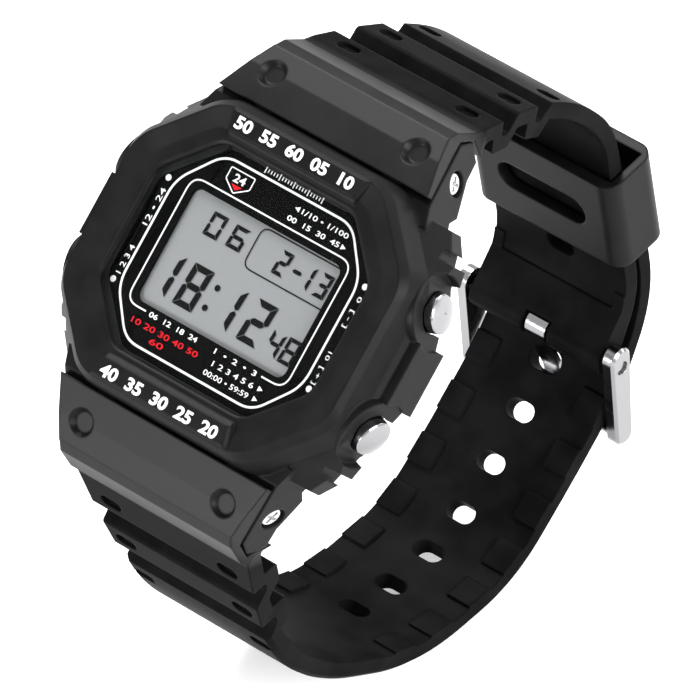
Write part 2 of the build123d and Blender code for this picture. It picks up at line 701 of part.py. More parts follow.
def middle_case():
    """Case that holds the crystal, the module and the spring bars."""
    taper_x = CASE_HALF_X - CASE_BACK_TAPER
    taper_y = CASE_HALF_Y - CASE_BACK_TAPER
    taper_top = CASE_BACK + CASE_TAPER_HEIGHT
    low = octagon(taper_x, taper_y, CASE_CUT, CASE_ROUND, CASE_BACK)
    high = octagon(CASE_HALF_X, CASE_HALF_Y, CASE_CUT, CASE_ROUND, taper_top)
    body = case_room(0) + loft([low, high], ruled=True) + lugs()
    body -= case_inside()
    body -= back_gasket()
    for bore in on_buttons(stem_bore()):
        body -= bore
    body -= both_ends(bar_hole())
    body -= both_sides(both_ends(ear_screw_place() * lug_screw_hole()))
    for x, y in back_screw_places():
        body -= Pos(x, y, 0) * post(
            SCREW_SHANK_RADIUS, CASE_BACK, CASE_BACK + BACK_SCREW_LENGTH)
    return body


def crystal():
    """Flat mineral glass."""
    glass = slab(CRYSTAL_HALF_X, CRYSTAL_HALF_Y, CRYSTAL_CUT, CAVITY_ROUND, 0, CRYSTAL_THICK)
    return chamfer(glass.faces().sort_by(Axis.Z)[-1].edges(), CRYSTAL_EDGE)


def crystal_gasket():
    """Seal round the crystal."""
    half_x, half_y, cut = grown(CRYSTAL_HALF_X, CRYSTAL_HALF_Y, CRYSTAL_CUT, GASKET_THICK)
    top = CASE_TOP - GASKET_SHORT
    ring = slab(half_x, half_y, cut, CAVITY_ROUND, 0, top)
    return ring - slab(CRYSTAL_HALF_X, CRYSTAL_HALF_Y, CRYSTAL_CUT, CAVITY_ROUND, 0, top)


def face_plate():
    """Printed dial with the display's window."""
    half_x, half_y, cut = grown(CAVITY_HALF_X, CAVITY_HALF_Y, PLATE_CUT, -RUN_GAP)
    plate = slab(half_x, half_y, cut, CAVITY_ROUND, -PLATE_THICK, 0)
    window = RectangleRounded(2 * WINDOW_HALF_X, 2 * WINDOW_HALF_Y, WINDOW_ROUND)
    return plate - Pos(0, 0, -PLATE_THICK) * extrude(window, PLATE_THICK)


def display_glass():
    """Liquid crystal cell."""
    top = -PLATE_THICK
    return block(
        -DISPLAY_HALF_X, DISPLAY_HALF_X, -DISPLAY_HALF_Y, DISPLAY_HALF_Y,
        top - DISPLAY_THICK, top)


def backlight_panel():
    """Thin lighting panel behind the display."""
    top = -PLATE_THICK - DISPLAY_THICK
    return block(
        -DISPLAY_HALF_X, DISPLAY_HALF_X, -BACKLIGHT_HALF_Y, BACKLIGHT_HALF_Y,
        top - BACKLIGHT_THICK, top)


def connector_strip(gap):
    """Connector between the display's 12 o'clock edge and the board, grown by a gap."""
    y_high = DISPLAY_HALF_Y - FIT_GAP
    return block(
        -CONNECTOR_HALF - gap, CONNECTOR_HALF + gap, y_high - CONNECTOR_WIDTH - gap, y_high + gap,
        BOARD_TOP, -PLATE_THICK - DISPLAY_THICK)


def display_connectors():
    """Both rubber connectors."""
    return both_ends(connector_strip(0))


def module_pocket(gap):
    """Sizes of the module's pocket for the board and the battery, less a gap all round."""
    half_x = BOARD_HALF_X + FIT_GAP
    half_y = BATTERY_RADIUS + FIT_GAP
    cut = half_x + half_y - half_y * sqrt(2)
    return grown(half_x, half_y, cut, -gap)


def contact_place():
    """Depth of the outer face of a side contact along its button's axis."""
    return -STEM_LENGTH - BUTTON_TRAVEL - STEM_END_GAP


def contact_foot(gap):
    """Foot of a side contact on the board, grown by a gap, on the button's frame."""
    low = BOARD_TOP - BUTTON_Z
    outer = contact_place()
    inner = (BOARD_HALF_X - BUTTON_X) / cos(radians(BUTTON_SPLAY)) - CONTACT_FOOT
    half = CONTACT_WIDTH / 2 + gap
    return block(low, low + CONTACT_THICK + gap, -half, half, inner - gap, outer)


def side_contacts():
    """Four springy contacts behind the buttons."""
    outer = contact_place()
    top = BOARD_TOP - BUTTON_Z + CONTACT_THICK
    half = CONTACT_WIDTH / 2
    leaf = block(top - CONTACT_HEIGHT, top, -half, half, outer - CONTACT_THICK, outer)
    return joined(on_buttons(leaf + contact_foot(0)))


def module_frame():
    """Plastic frame of the module."""
    display_floor = -PLATE_THICK - DISPLAY_THICK - BACKLIGHT_THICK
    body = slab(
        FRAME_HALF_X, FRAME_HALF_Y, FRAME_CUT, FRAME_ROUND, FRAME_STEP, -PLATE_THICK)
    body += slab(
        FRAME_LOW_HALF_X, FRAME_LOW_HALF_Y, FRAME_LOW_CUT, FRAME_ROUND, FRAME_BACK, FRAME_STEP)
    body -= block(
        -DISPLAY_HALF_X - RUN_GAP, DISPLAY_HALF_X + RUN_GAP, -DISPLAY_HALF_Y - RUN_GAP,
        DISPLAY_HALF_Y + RUN_GAP, display_floor, 0)
    half_x, half_y, cut = module_pocket(0)
    body -= slab(half_x, half_y, cut, FRAME_ROUND, FRAME_BACK - OVERRUN, BOARD_TOP)
    for x in (POST_X, -POST_X):
        body += Pos(x, 0, 0) * post(POST_RADIUS, BATTERY_TOP, BOARD_TOP)
    body -= both_ends(connector_strip(RUN_GAP))
    for foot in on_buttons(contact_foot(RUN_GAP)):
        body -= foot
    return body - both_sides(clamp_tab(RUN_GAP))


def circuit_board():
    """Board between the display and the battery."""
    half_x, half_y, cut = module_pocket(FIT_GAP)
    board = slab(half_x, half_y, cut, FRAME_ROUND, BOARD_TOP - BOARD_THICK, BOARD_TOP)
    for x in (POST_X, -POST_X):
        board -= Pos(x, 0, 0) * post(POST_RADIUS + RUN_GAP, BATTERY_TOP, BOARD_TOP)
    return board


def control_chip():
    """Chip under the board."""
    top = BOARD_TOP - BOARD_THICK
    half = CHIP_SIDE / 2
    return block(CHIP_X - half, CHIP_X + half, -half, half, top - CHIP_THICK, top)


def quartz_can():
    """Quartz crystal's can under the board."""
    height = BOARD_TOP - BOARD_THICK - QUARTZ_RADIUS
    can = Rot(90, 0, 0) * post(QUARTZ_RADIUS, -QUARTZ_LENGTH / 2, QUARTZ_LENGTH / 2)
    return Pos(QUARTZ_X, 0, height) * fillet(can.edges().filter_by(GeomType.CIRCLE), QUARTZ_ROUND)


def battery():
    """Button cell with a raised terminal on the board's side."""
    low = BATTERY_TOP - BATTERY_THICK
    can = post(BATTERY_RADIUS, low, BATTERY_TOP - BATTERY_EDGE)
    can = fillet(can.edges().sort_by(Axis.Z)[0], BATTERY_EDGE / 2)
    ring_radius = BATTERY_RADIUS - BATTERY_RING_WIDTH
    return can + post(ring_radius + BATTERY_EDGE, BATTERY_TOP - BATTERY_EDGE, BATTERY_TOP)


def clamp_tab(gap):
    """Tab of the battery clip in the frame's wall at 3 o'clock, grown by a gap."""
    high = BATTERY_TOP - BATTERY_THICK - CLAMP_THICK + CLAMP_HOOK
    half = CLAMP_WIDTH / 4 + gap
    return block(
        CLAMP_HALF_LENGTH, CLAMP_HALF_LENGTH + CLAMP_TAB + gap, -half, half,
        high - CLAMP_THICK - gap, high + gap)


def battery_clip():
    """Strip that holds the battery."""
    top = BATTERY_TOP - BATTERY_THICK
    low = top - CLAMP_THICK
    half = CLAMP_WIDTH / 2
    strip = block(-CLAMP_HALF_LENGTH, CLAMP_HALF_LENGTH, -half, half, low, top)
    upright = block(
        CLAMP_HALF_LENGTH - CLAMP_THICK, CLAMP_HALF_LENGTH, -half, half, low, low + CLAMP_HOOK)
    return strip + both_sides(upright + clamp_tab(0))


def coil(radius, wire, low, high, turns):
    """Coil spring on the Z axis with flat-ground ends, between two heights."""
    inner_low = low + wire
    inner_high = high - wire
    path = Pos(0, 0, inner_low) * Helix((inner_high - inner_low) / turns, inner_high - inner_low, radius)
    profile = Plane(origin=path @ 0, z_dir=path % 0) * Circle(wire)
    body = sweep(profile, path=path)
    rings = [Pos(0, 0, z) * Torus(radius, wire) for z in (inner_low, inner_high)]
    return body + rings[0] + rings[1]


def earth_spring():
    """Spring between the back cover and the board."""
    low = CASE_BACK + COVER_PLUG_HEIGHT
    spring = coil(
        EARTH_SPRING_RADIUS, EARTH_SPRING_WIRE, low, BOARD_TOP - BOARD_THICK, EARTH_SPRING_TURNS)
    return Pos(EARTH_SPRING_X, EARTH_SPRING_Y, 0) * spring


def back_cover():
    """Screwed back cover."""
    low = -BACK_DEPTH
    plate = slab(COVER_HALF_X, COVER_HALF_Y, COVER_CUT, CASE_ROUND, low, CASE_BACK)
    plate = chamfer(plate.faces().sort_by(Axis.Z)[0].edges(), COVER_EDGE)
    half_x, half_y, cut = grown(CAVITY_HALF_X, CAVITY_HALF_Y, CAVITY_CUT, -FIT_GAP)
    plate += slab(half_x, half_y, cut, CAVITY_ROUND, CASE_BACK, CASE_BACK + COVER_PLUG_HEIGHT)
    for x, y in back_screw_places():
        plate -= Pos(x, y, 0) * post(SCREW_SHANK_RADIUS + RUN_GAP, low, CASE_BACK)
        plate -= Pos(x, y, 0) * post(BACK_SCREW_HEAD + RUN_GAP, low, low + BACK_SCREW_THICK)
    return plate


def back_screws():
    """Four small cross-head screws in the back cover."""
    low = -BACK_DEPTH
    shoulder = low + BACK_SCREW_THICK
    head = post(BACK_SCREW_HEAD, low, shoulder)
    shank = post(SCREW_SHANK_RADIUS, shoulder, CASE_BACK + BACK_SCREW_LENGTH)
    screw = head + shank - Pos(0, 0, low) * cross_recess()
    return joined([Pos(x, y, 0) * screw for x, y in back_screw_places()])


def buzzer():
    """Sounder disc on the inside of the back cover."""
    low = CASE_BACK + COVER_PLUG_HEIGHT
    disc = post(BUZZER_RADIUS, low, low + BUZZER_THICK)
    return disc + post(
        BUZZER_CERAMIC_RADIUS, low + BUZZER_THICK, low + BUZZER_THICK + BUZZER_CERAMIC_THICK)


def spring_bar():
    """Spring bar at 12 o'clock with thinner ends."""
    body = post(BAR_RADIUS, -LUG_GAP_HALF + BAR_END_GAP, LUG_GAP_HALF - BAR_END_GAP)
    reach = LUG_GAP_HALF + BAR_TIP_LENGTH
    bar = body + post(BAR_TIP_RADIUS, -reach, reach)
    return Pos(0, BAR_PIVOT_Y, BAR_PIVOT_Z) * Rot(0, 90, 0) * bar


def button():
    """Polished button on its frame: domed cap, stem and the groove of its clip."""
    rim = CAP_RISE + CAP_EDGE
    outline = [
        Line((0, -CAP_DEPTH), (CAP_RADIUS, -CAP_DEPTH)),
        Line((CAP_RADIUS, -CAP_DEPTH), (CAP_RADIUS, CAP_RISE)),
        Line((CAP_RADIUS, CAP_RISE), (CAP_RADIUS - CAP_EDGE, rim)),
        TangentArc((0, CAP_RISE + CAP_DOME), (CAP_RADIUS - CAP_EDGE, rim), tangent=(1, 0)),
        Line((0, CAP_RISE + CAP_DOME), (0, -CAP_DEPTH))]
    cap = revolve(Plane.XZ * make_face(outline), Axis.Z)
    stem = post(STEM_RADIUS, -STEM_LENGTH, -CAP_DEPTH)
    top = clip_place()
    groove = post(STEM_RADIUS, top - CLIP_THICK, top) - post(
        STEM_RADIUS - CLIP_GROOVE, top - CLIP_THICK, top)
    return cap + stem - groove


def clip_place():
    """Depth of a clip's outer face, just inside its seat in the case's inner wall."""
    return -CLIP_SEAT - RUN_GAP


def button_clip():
    """Open clip in the stem's groove, on the button's frame."""
    top = clip_place()
    ring = post(CLIP_RADIUS, top - CLIP_THICK, top)
    ring -= post(STEM_RADIUS - CLIP_GROOVE, top - CLIP_THICK, top)
    half = STEM_RADIUS - CLIP_GROOVE
    return ring - block(0, CLIP_RADIUS, -half, half, top - CLIP_THICK, top)


def button_spring():
    """Return spring between the case and the cap, on the button's frame."""
    low = case_wall_depth(CASE_HALF_X) - SPRING_POCKET_DEPTH
    return coil(SPRING_RADIUS, SPRING_WIRE, low, -CAP_DEPTH, SPRING_TURNS)


def seal():
    """Seal round a stem, on the button's frame."""
    return Pos(0, 0, SEAL_PLACE) * Torus(STEM_RADIUS + SEAL_GAP + SEAL_WIRE, SEAL_WIRE)


def loop_corners(shares):
    """Corners of a strap half's outer line in the side view."""
    return [Vector(y * LOOP_HALF, z * LOOP_DEPTH) for y, z in shares]


def soft_runs(corners):
    """Straight and round runs through corners: start, end and the directions at both."""
    runs = []
    place = corners[0]
    for before, here, after in zip(corners, corners[1:], corners[2:]):
        ahead = (here - before).normalized()
        beyond = (after - here).normalized()
        run = RUN_SHARE * min((here - before).length, (after - here).length)
        start = here - ahead * run
        runs.append((place, start, ahead, ahead))
        place = here + beyond * run
        runs.append((start, place, ahead, beyond))
    runs.append((place, corners[-1], beyond, beyond))
    return runs


def run_length(run):
    """Length of one straight or round run."""
    start, end, ahead, beyond = run
    chord = (end - start).length
    if ahead.get_angle(beyond) < STRAIGHT_TURN:
        return chord
    turn = radians(ahead.get_angle(beyond))
    return chord * turn / (2 * sin(turn / 2))


def point_in_run(run, along):
    """Place and direction at a distance along one run."""
    start, end, ahead, beyond = run
    turn = ahead.get_angle(beyond)
    if turn < STRAIGHT_TURN:
        return start + ahead * along, ahead
    share = along / run_length(run)
    hand = 1 if ahead.cross(beyond).Z > 0 else -1
    radius = (end - start).length / (2 * sin(radians(turn) / 2))
    chord = 2 * radius * sin(radians(turn) * share / 2)
    halfway = ahead.rotate(Axis.Z, hand * turn * share / 2)
    return start + halfway * chord, ahead.rotate(Axis.Z, hand * turn * share)


def runs_past(runs, along):
    """The runs that are left after a distance along them."""
    for index, run in enumerate(runs):
        length = run_length(run)
        if along < length:
            place, heading = point_in_run(run, along)
            return [(place, run[1], heading, run[3])] + runs[index + 1:]
        along -= length
    return runs[-1:]


def inward(heading, hand):
    """Direction to the wrist, square to the strap's line."""
    return Vector(heading.Y, -heading.X) * hand


def station(runs, hand, along, depth):
    """Point of the side view at a distance along the strap and a depth to the wrist."""
    run = runs_past(runs, along)[0]
    return run[0] + inward(run[2], hand) * depth


def strap_frame(runs, hand, along, depth):
    """Frame on the strap: X across it, Z to the wrist, on the middle line."""
    run = runs_past(runs, along)[0]
    normal = inward(run[2], hand)
    place = run[0] + normal * depth
    return Location(Plane(
        origin=(0, place.X, place.Y), x_dir=(1, 0, 0), z_dir=(0, normal.X, normal.Y)))


def edges_along(runs, hand, depth):
    """Edges of a line of runs, moved to the wrist by a depth."""
    edges = []
    for start, end, ahead, beyond in runs:
        first = start + inward(ahead, hand) * depth
        last = end + inward(beyond, hand) * depth
        if ahead.get_angle(beyond) < STRAIGHT_TURN:
            edges.append(Line(first, last))
        else:
            edges.append(TangentArc(first, last, tangent=ahead))
    return edges


def rib_points(runs, hand, land, shares, shallow, deep):
    """Points of the ribs on one face of the strap, from the first valley on."""
    points = []
    for index in range(RIB_COUNT):
        start = land + index * RIB_PITCH
        for along, share in shares:
            depth = shallow + share * (deep - shallow)
            points.append(station(runs, hand, start + along * RIB_PITCH, depth))
    return points


def band(runs, hand, land, thick):
    """Ribbed and plain length of a strap half, from its neck to its end."""
    outer = [station(runs, hand, 0, 0)]
    outer += rib_points(runs, hand, land, RIB_OUTER_SHARES, 0, RIB_VALLEY)
    inner = [station(runs, hand, 0, NECK_DEPTH), station(runs, hand, NECK_LENGTH, thick)]
    inner += rib_points(runs, hand, land, RIB_INNER_SHARES, thick, thick + RIB_VALLEY)
    ribs_end = land + (RIB_COUNT - 1) * RIB_PITCH
    outer_rest = runs_past(runs, ribs_end + RIB_OUTER_SHARES[-1][0] * RIB_PITCH)
    inner_rest = runs_past(runs, ribs_end + RIB_INNER_SHARES[-1][0] * RIB_PITCH)
    edges = [
        FilletPolyline(*outer, radius=RIB_ROUND), FilletPolyline(*inner, radius=RIB_ROUND),
        Line(outer[0], inner[0])]
    edges += edges_along(outer_rest, hand, 0) + edges_along(inner_rest, hand, thick)
    last = runs[-1]
    edges.append(Line(last[1], last[1] + inward(last[3], hand) * thick))
    face = Plane.YZ * make_face(edges)
    return extrude(face, STRAP_HEAD_HALF + OVERRUN, both=True)


def width_cut():
    """Front view of the strap's width, as a block that trims a band."""
    far = LOOP_HALF * 2
    right = [
        (STRAP_HEAD_HALF, 0), (STRAP_HEAD_HALF, STRAP_HEAD_Z), (STRAP_MID_HALF, STRAP_MID_Z),
        (STRAP_TAIL_HALF, STRAP_TAIL_Z), (STRAP_TAIL_HALF, -LOOP_DEPTH * 2)]
    left = [(-x, z) for x, z in reversed(right)]
    face = make_face(Polyline(*[(x, 0, z) for x, z in right + left], close=True))
    return extrude(face, far, both=True)


def head(neck_outer, neck_inner):
    """Hood over the ears, with the tongue on the spring bar, for the 12 o'clock half."""
    outline = at_bar(HOOD_TOP_SHARES) + [neck_outer, neck_inner] + at_bar(HOOD_UNDER_SHARES)
    hood = side(outline, -GUARD_HALF_X, GUARD_HALF_X)
    under = at_bar(HOOD_UNDER_SHARES[1:]) + at_bar(HOOD_SIDE_SHARES[:1])
    skirt = side(under, EAR_INNER_X + FIT_GAP, GUARD_HALF_X)
    lean = tan(radians(EAR_SLOPE))
    root = EAR_ROOT_X - HOOD_SIDE_GAP
    turn_y = EAR_ROOT_Y + (root - STRAP_HEAD_HALF) / lean
    right = [(root, EAR_ROOT_Y), (STRAP_HEAD_HALF, turn_y), (STRAP_HEAD_HALF, LOOP_HALF)]
    outline = [(-x, y) for x, y in right] + right[::-1]
    hood = (hood + both_sides(skirt)) & plan(outline, BAR_PIVOT_Z * 2, RIM_TOP)
    barrel = Rot(0, 90, 0) * post(STRAP_BARREL_RADIUS, -TONGUE_HALF, TONGUE_HALF)
    tongue = Pos(0, BAR_PIVOT_Y, BAR_PIVOT_Z) * barrel
    tongue += side(at_bar(NECK_SHARES), -TONGUE_HALF, TONGUE_HALF)
    return hood + tongue


def hood_details(body):
    """The head with its bar hole and round dimples."""
    hole = Rot(0, 90, 0) * post(BAR_RADIUS + RUN_GAP, -GUARD_HALF_X, GUARD_HALF_X)
    body -= Pos(0, BAR_PIVOT_Y, BAR_PIVOT_Z) * hole
    first, second = at_bar(HOOD_TOP_SHARES[:2])
    lean = degrees(atan2(second[1] - first[1], second[0] - first[0]))
    surface = first[1] + (DIMPLE_Y - first[0]) * (second[1] - first[1]) / (second[0] - first[0])
    dimple = Pos(0, 0, -DIMPLE_DEPTH / 2) * Cone(DIMPLE_FLOOR_RADIUS, DIMPLE_RADIUS, DIMPLE_DEPTH)
    dimple += post(DIMPLE_RADIUS, 0, OVERRUN)
    return body - both_sides(Pos(DIMPLE_X, DIMPLE_Y, surface) * Rot(lean, 0, 0) * dimple)


def slot(length, width, depth):
    """Oval cutter along X, to a depth on both sides of its plane."""
    return extrude(SlotOverall(length, width), depth, both=True)


def short_runs():
    """Outer line of the short half."""
    return soft_runs(loop_corners(SHORT_PATH_SHARES))


def keeper_frame(shift, depth):
    """Frame on the short half's straight length: Y up the strap, Z to the wrist."""
    upper, lower = loop_corners(SHORT_PATH_SHARES)[3:5]
    up = (upper - lower).normalized()
    normal = inward(-up, 1)
    place = lower + up * (KEEPER_PLACE + shift) + normal * depth
    return Location(Plane(
        origin=(0, place.X, place.Y), x_dir=(1, 0, 0), z_dir=(0, normal.X, normal.Y)))


def long_runs():
    """Outer line of the long half, with its tail laid over the short half."""
    upper, lower = loop_corners(SHORT_PATH_SHARES)[3:5]
    up = (upper - lower).normalized()
    outside = lower + up * KEEPER_PLACE - inward(-up, 1) * (LAYER_GAP + LONG_THICK)
    corners = loop_corners(LONG_PATH_SHARES)
    return soft_runs(corners + [outside - up * TAIL_TURN, outside + up * TAIL_PAST_KEEPER])


def rib_slots(runs, hand, land):
    """Oval dents on the lands of the ribs, as cutters."""
    cutters = []
    for index in range(RIB_COUNT + 1):
        along = land + (index - 1 + RIB_SLOT_SHARE) * RIB_PITCH
        frame = strap_frame(runs, hand, along, 0)
        for x in (RIB_SLOT_X, -RIB_SLOT_X):
            cutters.append(frame * Pos(x, 0, 0) * slot(RIB_SLOT_LENGTH, RIB_SLOT_WIDTH, RIB_SLOT_DEPTH))
    return cutters


def pin_place():
    """Centre of the buckle's pin in the side view."""
    last = short_runs()[-1]
    return last[1] + inward(last[3], 1) * SHORT_BARREL_RADIUS


def across(place, radius, low, high):
    """Round bar along X at a place of the side view."""
    return Pos(0, place.X, place.Y) * Rot(0, 90, 0) * post(radius, low, high)


def raised(runs, start, x_low, x_high):
    """Slightly thicker length of the short half, from a distance along it to its end."""
    rest = runs_past(runs, start)
    low, high = SHORT_THICK / 2, SHORT_THICK + SHORT_PANEL_RISE
    edges = edges_along(rest, 1, low) + edges_along(rest, 1, high)
    for place, heading in ((rest[0][0], rest[0][2]), (rest[-1][1], rest[-1][3])):
        normal = inward(heading, 1)
        edges.append(Line(place + normal * low, place + normal * high))
    face = Pos(x_low, 0, 0) * (Plane.YZ * make_face(edges))
    return extrude(face, x_high - x_low, dir=(1, 0, 0))


def end_ramp(runs):
    """Slope on the face to the wrist, from the short half's panel up to its barrel."""
    pin = pin_place()
    start = sum(run_length(run) for run in runs) - SHORT_RAMP
    crest = pin + inward(runs[-1][3], 1) * SHORT_BARREL_RADIUS
    foot = station(runs, 1, start, SHORT_THICK + SHORT_PANEL_RISE)
    root = station(runs, 1, start, SHORT_THICK / 2)
    outline = [(point.X, point.Y) for point in (foot, crest, pin, root)]
    return side(outline, -STRAP_TAIL_HALF, STRAP_TAIL_HALF)


def strap_short():
    """Strap half at 12 o'clock, with the buckle's pin at its end."""
    runs = short_runs()
    body = band(runs, 1, SHORT_LAND, SHORT_THICK) & width_cut()
    neck_outer = station(runs, 1, 0, 0)
    neck_inner = station(runs, 1, 0, NECK_DEPTH)
    body += hood_details(head((neck_outer.X, neck_outer.Y), (neck_inner.X, neck_inner.Y)))
    for cutter in rib_slots(runs, 1, SHORT_LAND):
        body -= cutter
    body += both_sides(raised(runs, SHORT_PANEL_PLACE, SHORT_PANEL_HALF, STRAP_TAIL_HALF))
    lower = SHORT_PANEL_PLACE + SHORT_PANEL_LENGTH
    body += raised(runs, lower, -STRAP_TAIL_HALF, STRAP_TAIL_HALF)
    pin = pin_place()
    body += end_ramp(runs)
    body += across(pin, SHORT_BARREL_RADIUS, -STRAP_TAIL_HALF, STRAP_TAIL_HALF)
    body -= across(pin, BUCKLE_PIN_RADIUS, -STRAP_TAIL_HALF, STRAP_TAIL_HALF)
    roll = BUCKLE_PIN_RADIUS + RUN_GAP + PRONG_THICK
    body -= across(pin, roll + SHORT_NOTCH_GAP, -SHORT_NOTCH_HALF, SHORT_NOTCH_HALF)
    hole = slot(HOLE_ACROSS, HOLE_ALONG, SHORT_THICK * 2)
    return body - keeper_frame(-SHORT_HOLE_PLACE, 0) * hole


def long_holes(runs):
    """Holes of the long half, as cutters."""
    steps = range(-HOLES_BEFORE_PRONG, HOLES_PAST_PRONG + 1)
    cutters = []
    for step in steps:
        cutter = slot(HOLE_ACROSS, HOLE_ALONG, LONG_THICK * 2)
        if step == 0:
            cutter = slot(PRONG_HOLE_ACROSS, PRONG_HOLE_ALONG, LONG_THICK * 2)
        frame = strap_frame(runs, -1, PRONG_HOLE_PLACE + step * HOLE_PITCH, 0)
        cutters.append(frame * cutter)
    return cutters


def long_pads(runs):
    """Raised pads beside the holes on the face to the wrist."""
    x = STRAP_TAIL_HALF - PAD_WIDTH / 2
    pads = []
    for step in range(-HOLES_BEFORE_PRONG, 1):
        along = PRONG_HOLE_PLACE + step * HOLE_PITCH - PAD_BEFORE_HOLE
        frame = strap_frame(runs, -1, along, LONG_THICK)
        pad = frame * Pos(x, 0, 0) * Box(PAD_WIDTH, PAD_LENGTH, 2 * PAD_HEIGHT)
        pads.append(both_sides(pad))
    return pads


def soft_edges(body, runs):
    """The plain length of the long half with its outer edges cut slanting."""
    ribs_end = LONG_LAND + (RIB_COUNT - 1 + RIB_OUTER_SHARES[-1][0]) * RIB_PITCH
    line = Plane.YZ * Wire(edges_along(runs_past(runs, ribs_end), -1, 0))
    chosen = []
    for edge in body.edges():
        middle, end = edge @ 0.5, edge @ 0
        flat = Vector(0, middle.Y, middle.Z)
        if abs(middle.X) > TIP_ROUND and line.distance_to(flat) < FIT_GAP / 10:
            if abs(edge.tangent_at(0.5).X) < 1 / 2:
                chosen.append(edge)
    return chamfer(chosen, STRAP_EDGE)


def strap_long():
    """Strap half at 6 o'clock, with the holes."""
    runs = long_runs()
    body = band(runs, -1, LONG_LAND, LONG_THICK) & width_cut()
    tip = body.edges().filter_by(lambda edge: abs(edge.length - LONG_THICK) < FIT_GAP / 10)
    tip = tip.sort_by(lambda edge: edge.distance_to(Vector(0, runs[-1][1].X, runs[-1][1].Y)))[:2]
    body = soft_edges(fillet(tip, TIP_ROUND), runs)
    neck_outer = station(runs, -1, 0, 0)
    neck_inner = station(runs, -1, 0, NECK_DEPTH)
    top = hood_details(head((-neck_outer.X, neck_outer.Y), (-neck_inner.X, neck_inner.Y)))
    body += mirror(top, about=Plane.XZ)
    for cutter in rib_slots(runs, -1, LONG_LAND):
        body -= cutter
    for pad in long_pads(runs):
        body += pad
    for hole in long_holes(runs):
        body -= hole
    return body


def keeper():
    """Loop that holds the tail on the short half."""
    low = -LAYER_GAP - LONG_THICK - KEEPER_PLAY
    high = SHORT_THICK + KEEPER_PLAY
    half_x = STRAP_TAIL_HALF + KEEPER_PLAY
    half_y = KEEPER_LENGTH / 2
    outside = block(
        -half_x - KEEPER_SIDE, half_x + KEEPER_SIDE, -half_y, half_y,
        low - KEEPER_WALL, high + KEEPER_WALL)
    outside = fillet(outside.edges().filter_by(Axis.Y), KEEPER_ROUND)
    body = outside - block(-half_x, half_x, -half_y, half_y, low, high)
    window = slot(KEEPER_SLOT_LENGTH, KEEPER_SLOT_WIDTH, KEEPER_WALL)
    return keeper_frame(0, 0) * (body - Pos(0, 0, high + KEEPER_WALL / 2) * window)


def bar_place():
    """Centre of the buckle's far bar in the side view, outside the long half."""
    along = PRONG_HOLE_PLACE - BUCKLE_BAR_BEHIND
    return station(long_runs(), -1, along, -BUCKLE_BAR_GAP - BUCKLE_BAR_RADIUS)


def buckle_frame():
    """Buckle with two arms and a far bar."""
    pin = pin_place()
    bar = bar_place()
    past = pin - (bar - pin).normalized() * BUCKLE_EYE_PAST
    eye = Pos(past.X, past.Y) * CenterArc((0, 0), BUCKLE_EYE_RADIUS, 0, 360)
    end = Pos(bar.X, bar.Y) * CenterArc((0, 0), BUCKLE_END_RADIUS, 0, 360)
    outline = Plane.YZ * make_hull([eye, end])
    arm = extrude(Pos(BUCKLE_INNER_HALF, 0, 0) * outline, BUCKLE_ARM_THICK, dir=(1, 0, 0))
    arm = chamfer(arm.faces().sort_by(Axis.X)[-1].edges(), BUCKLE_EDGE)
    body = both_sides(arm) + across(bar, BUCKLE_BAR_RADIUS, -BUCKLE_INNER_HALF, BUCKLE_INNER_HALF)
    far = BUCKLE_INNER_HALF + BUCKLE_ARM_THICK
    return body - across(pin, BUCKLE_PIN_RADIUS + RUN_GAP, -far, far)


def buckle_pin():
    """Pin that joins the buckle, the prong and the short half."""
    far = BUCKLE_INNER_HALF + BUCKLE_ARM_THICK - BUCKLE_EDGE
    return across(pin_place(), BUCKLE_PIN_RADIUS, -far, far)


def prong_line():
    """Middle line of the prong in the side view, scaled by the way from the pin to the bar."""
    pin = pin_place()
    drop = pin.Y - bar_place().Y
    reach = pin.X - bar_place().X
    return [pin + Vector(y * reach, z * drop) for y, z in PRONG_SHARES]


def buckle_prong():
    """Prong rolled round the pin, through the hole and over the far bar."""
    pin = pin_place()
    runs = soft_runs(prong_line())
    edges = edges_along(runs, 1, PRONG_THICK / 2) + edges_along(runs, 1, -PRONG_THICK / 2)
    for place, heading in ((runs[0][0], runs[0][2]), (runs[-1][1], runs[-1][3])):
        shift = inward(heading, 1) * (PRONG_THICK / 2)
        edges.append(Line(place + shift, place - shift))
    strip = extrude(Plane.YZ * make_face(edges), PRONG_HALF_WIDTH, both=True)
    inner = BUCKLE_PIN_RADIUS + RUN_GAP
    roll = across(pin, inner + PRONG_THICK, -PRONG_HALF_WIDTH, PRONG_HALF_WIDTH)
    return strip + roll - across(pin, inner, -PRONG_HALF_WIDTH, PRONG_HALF_WIDTH)


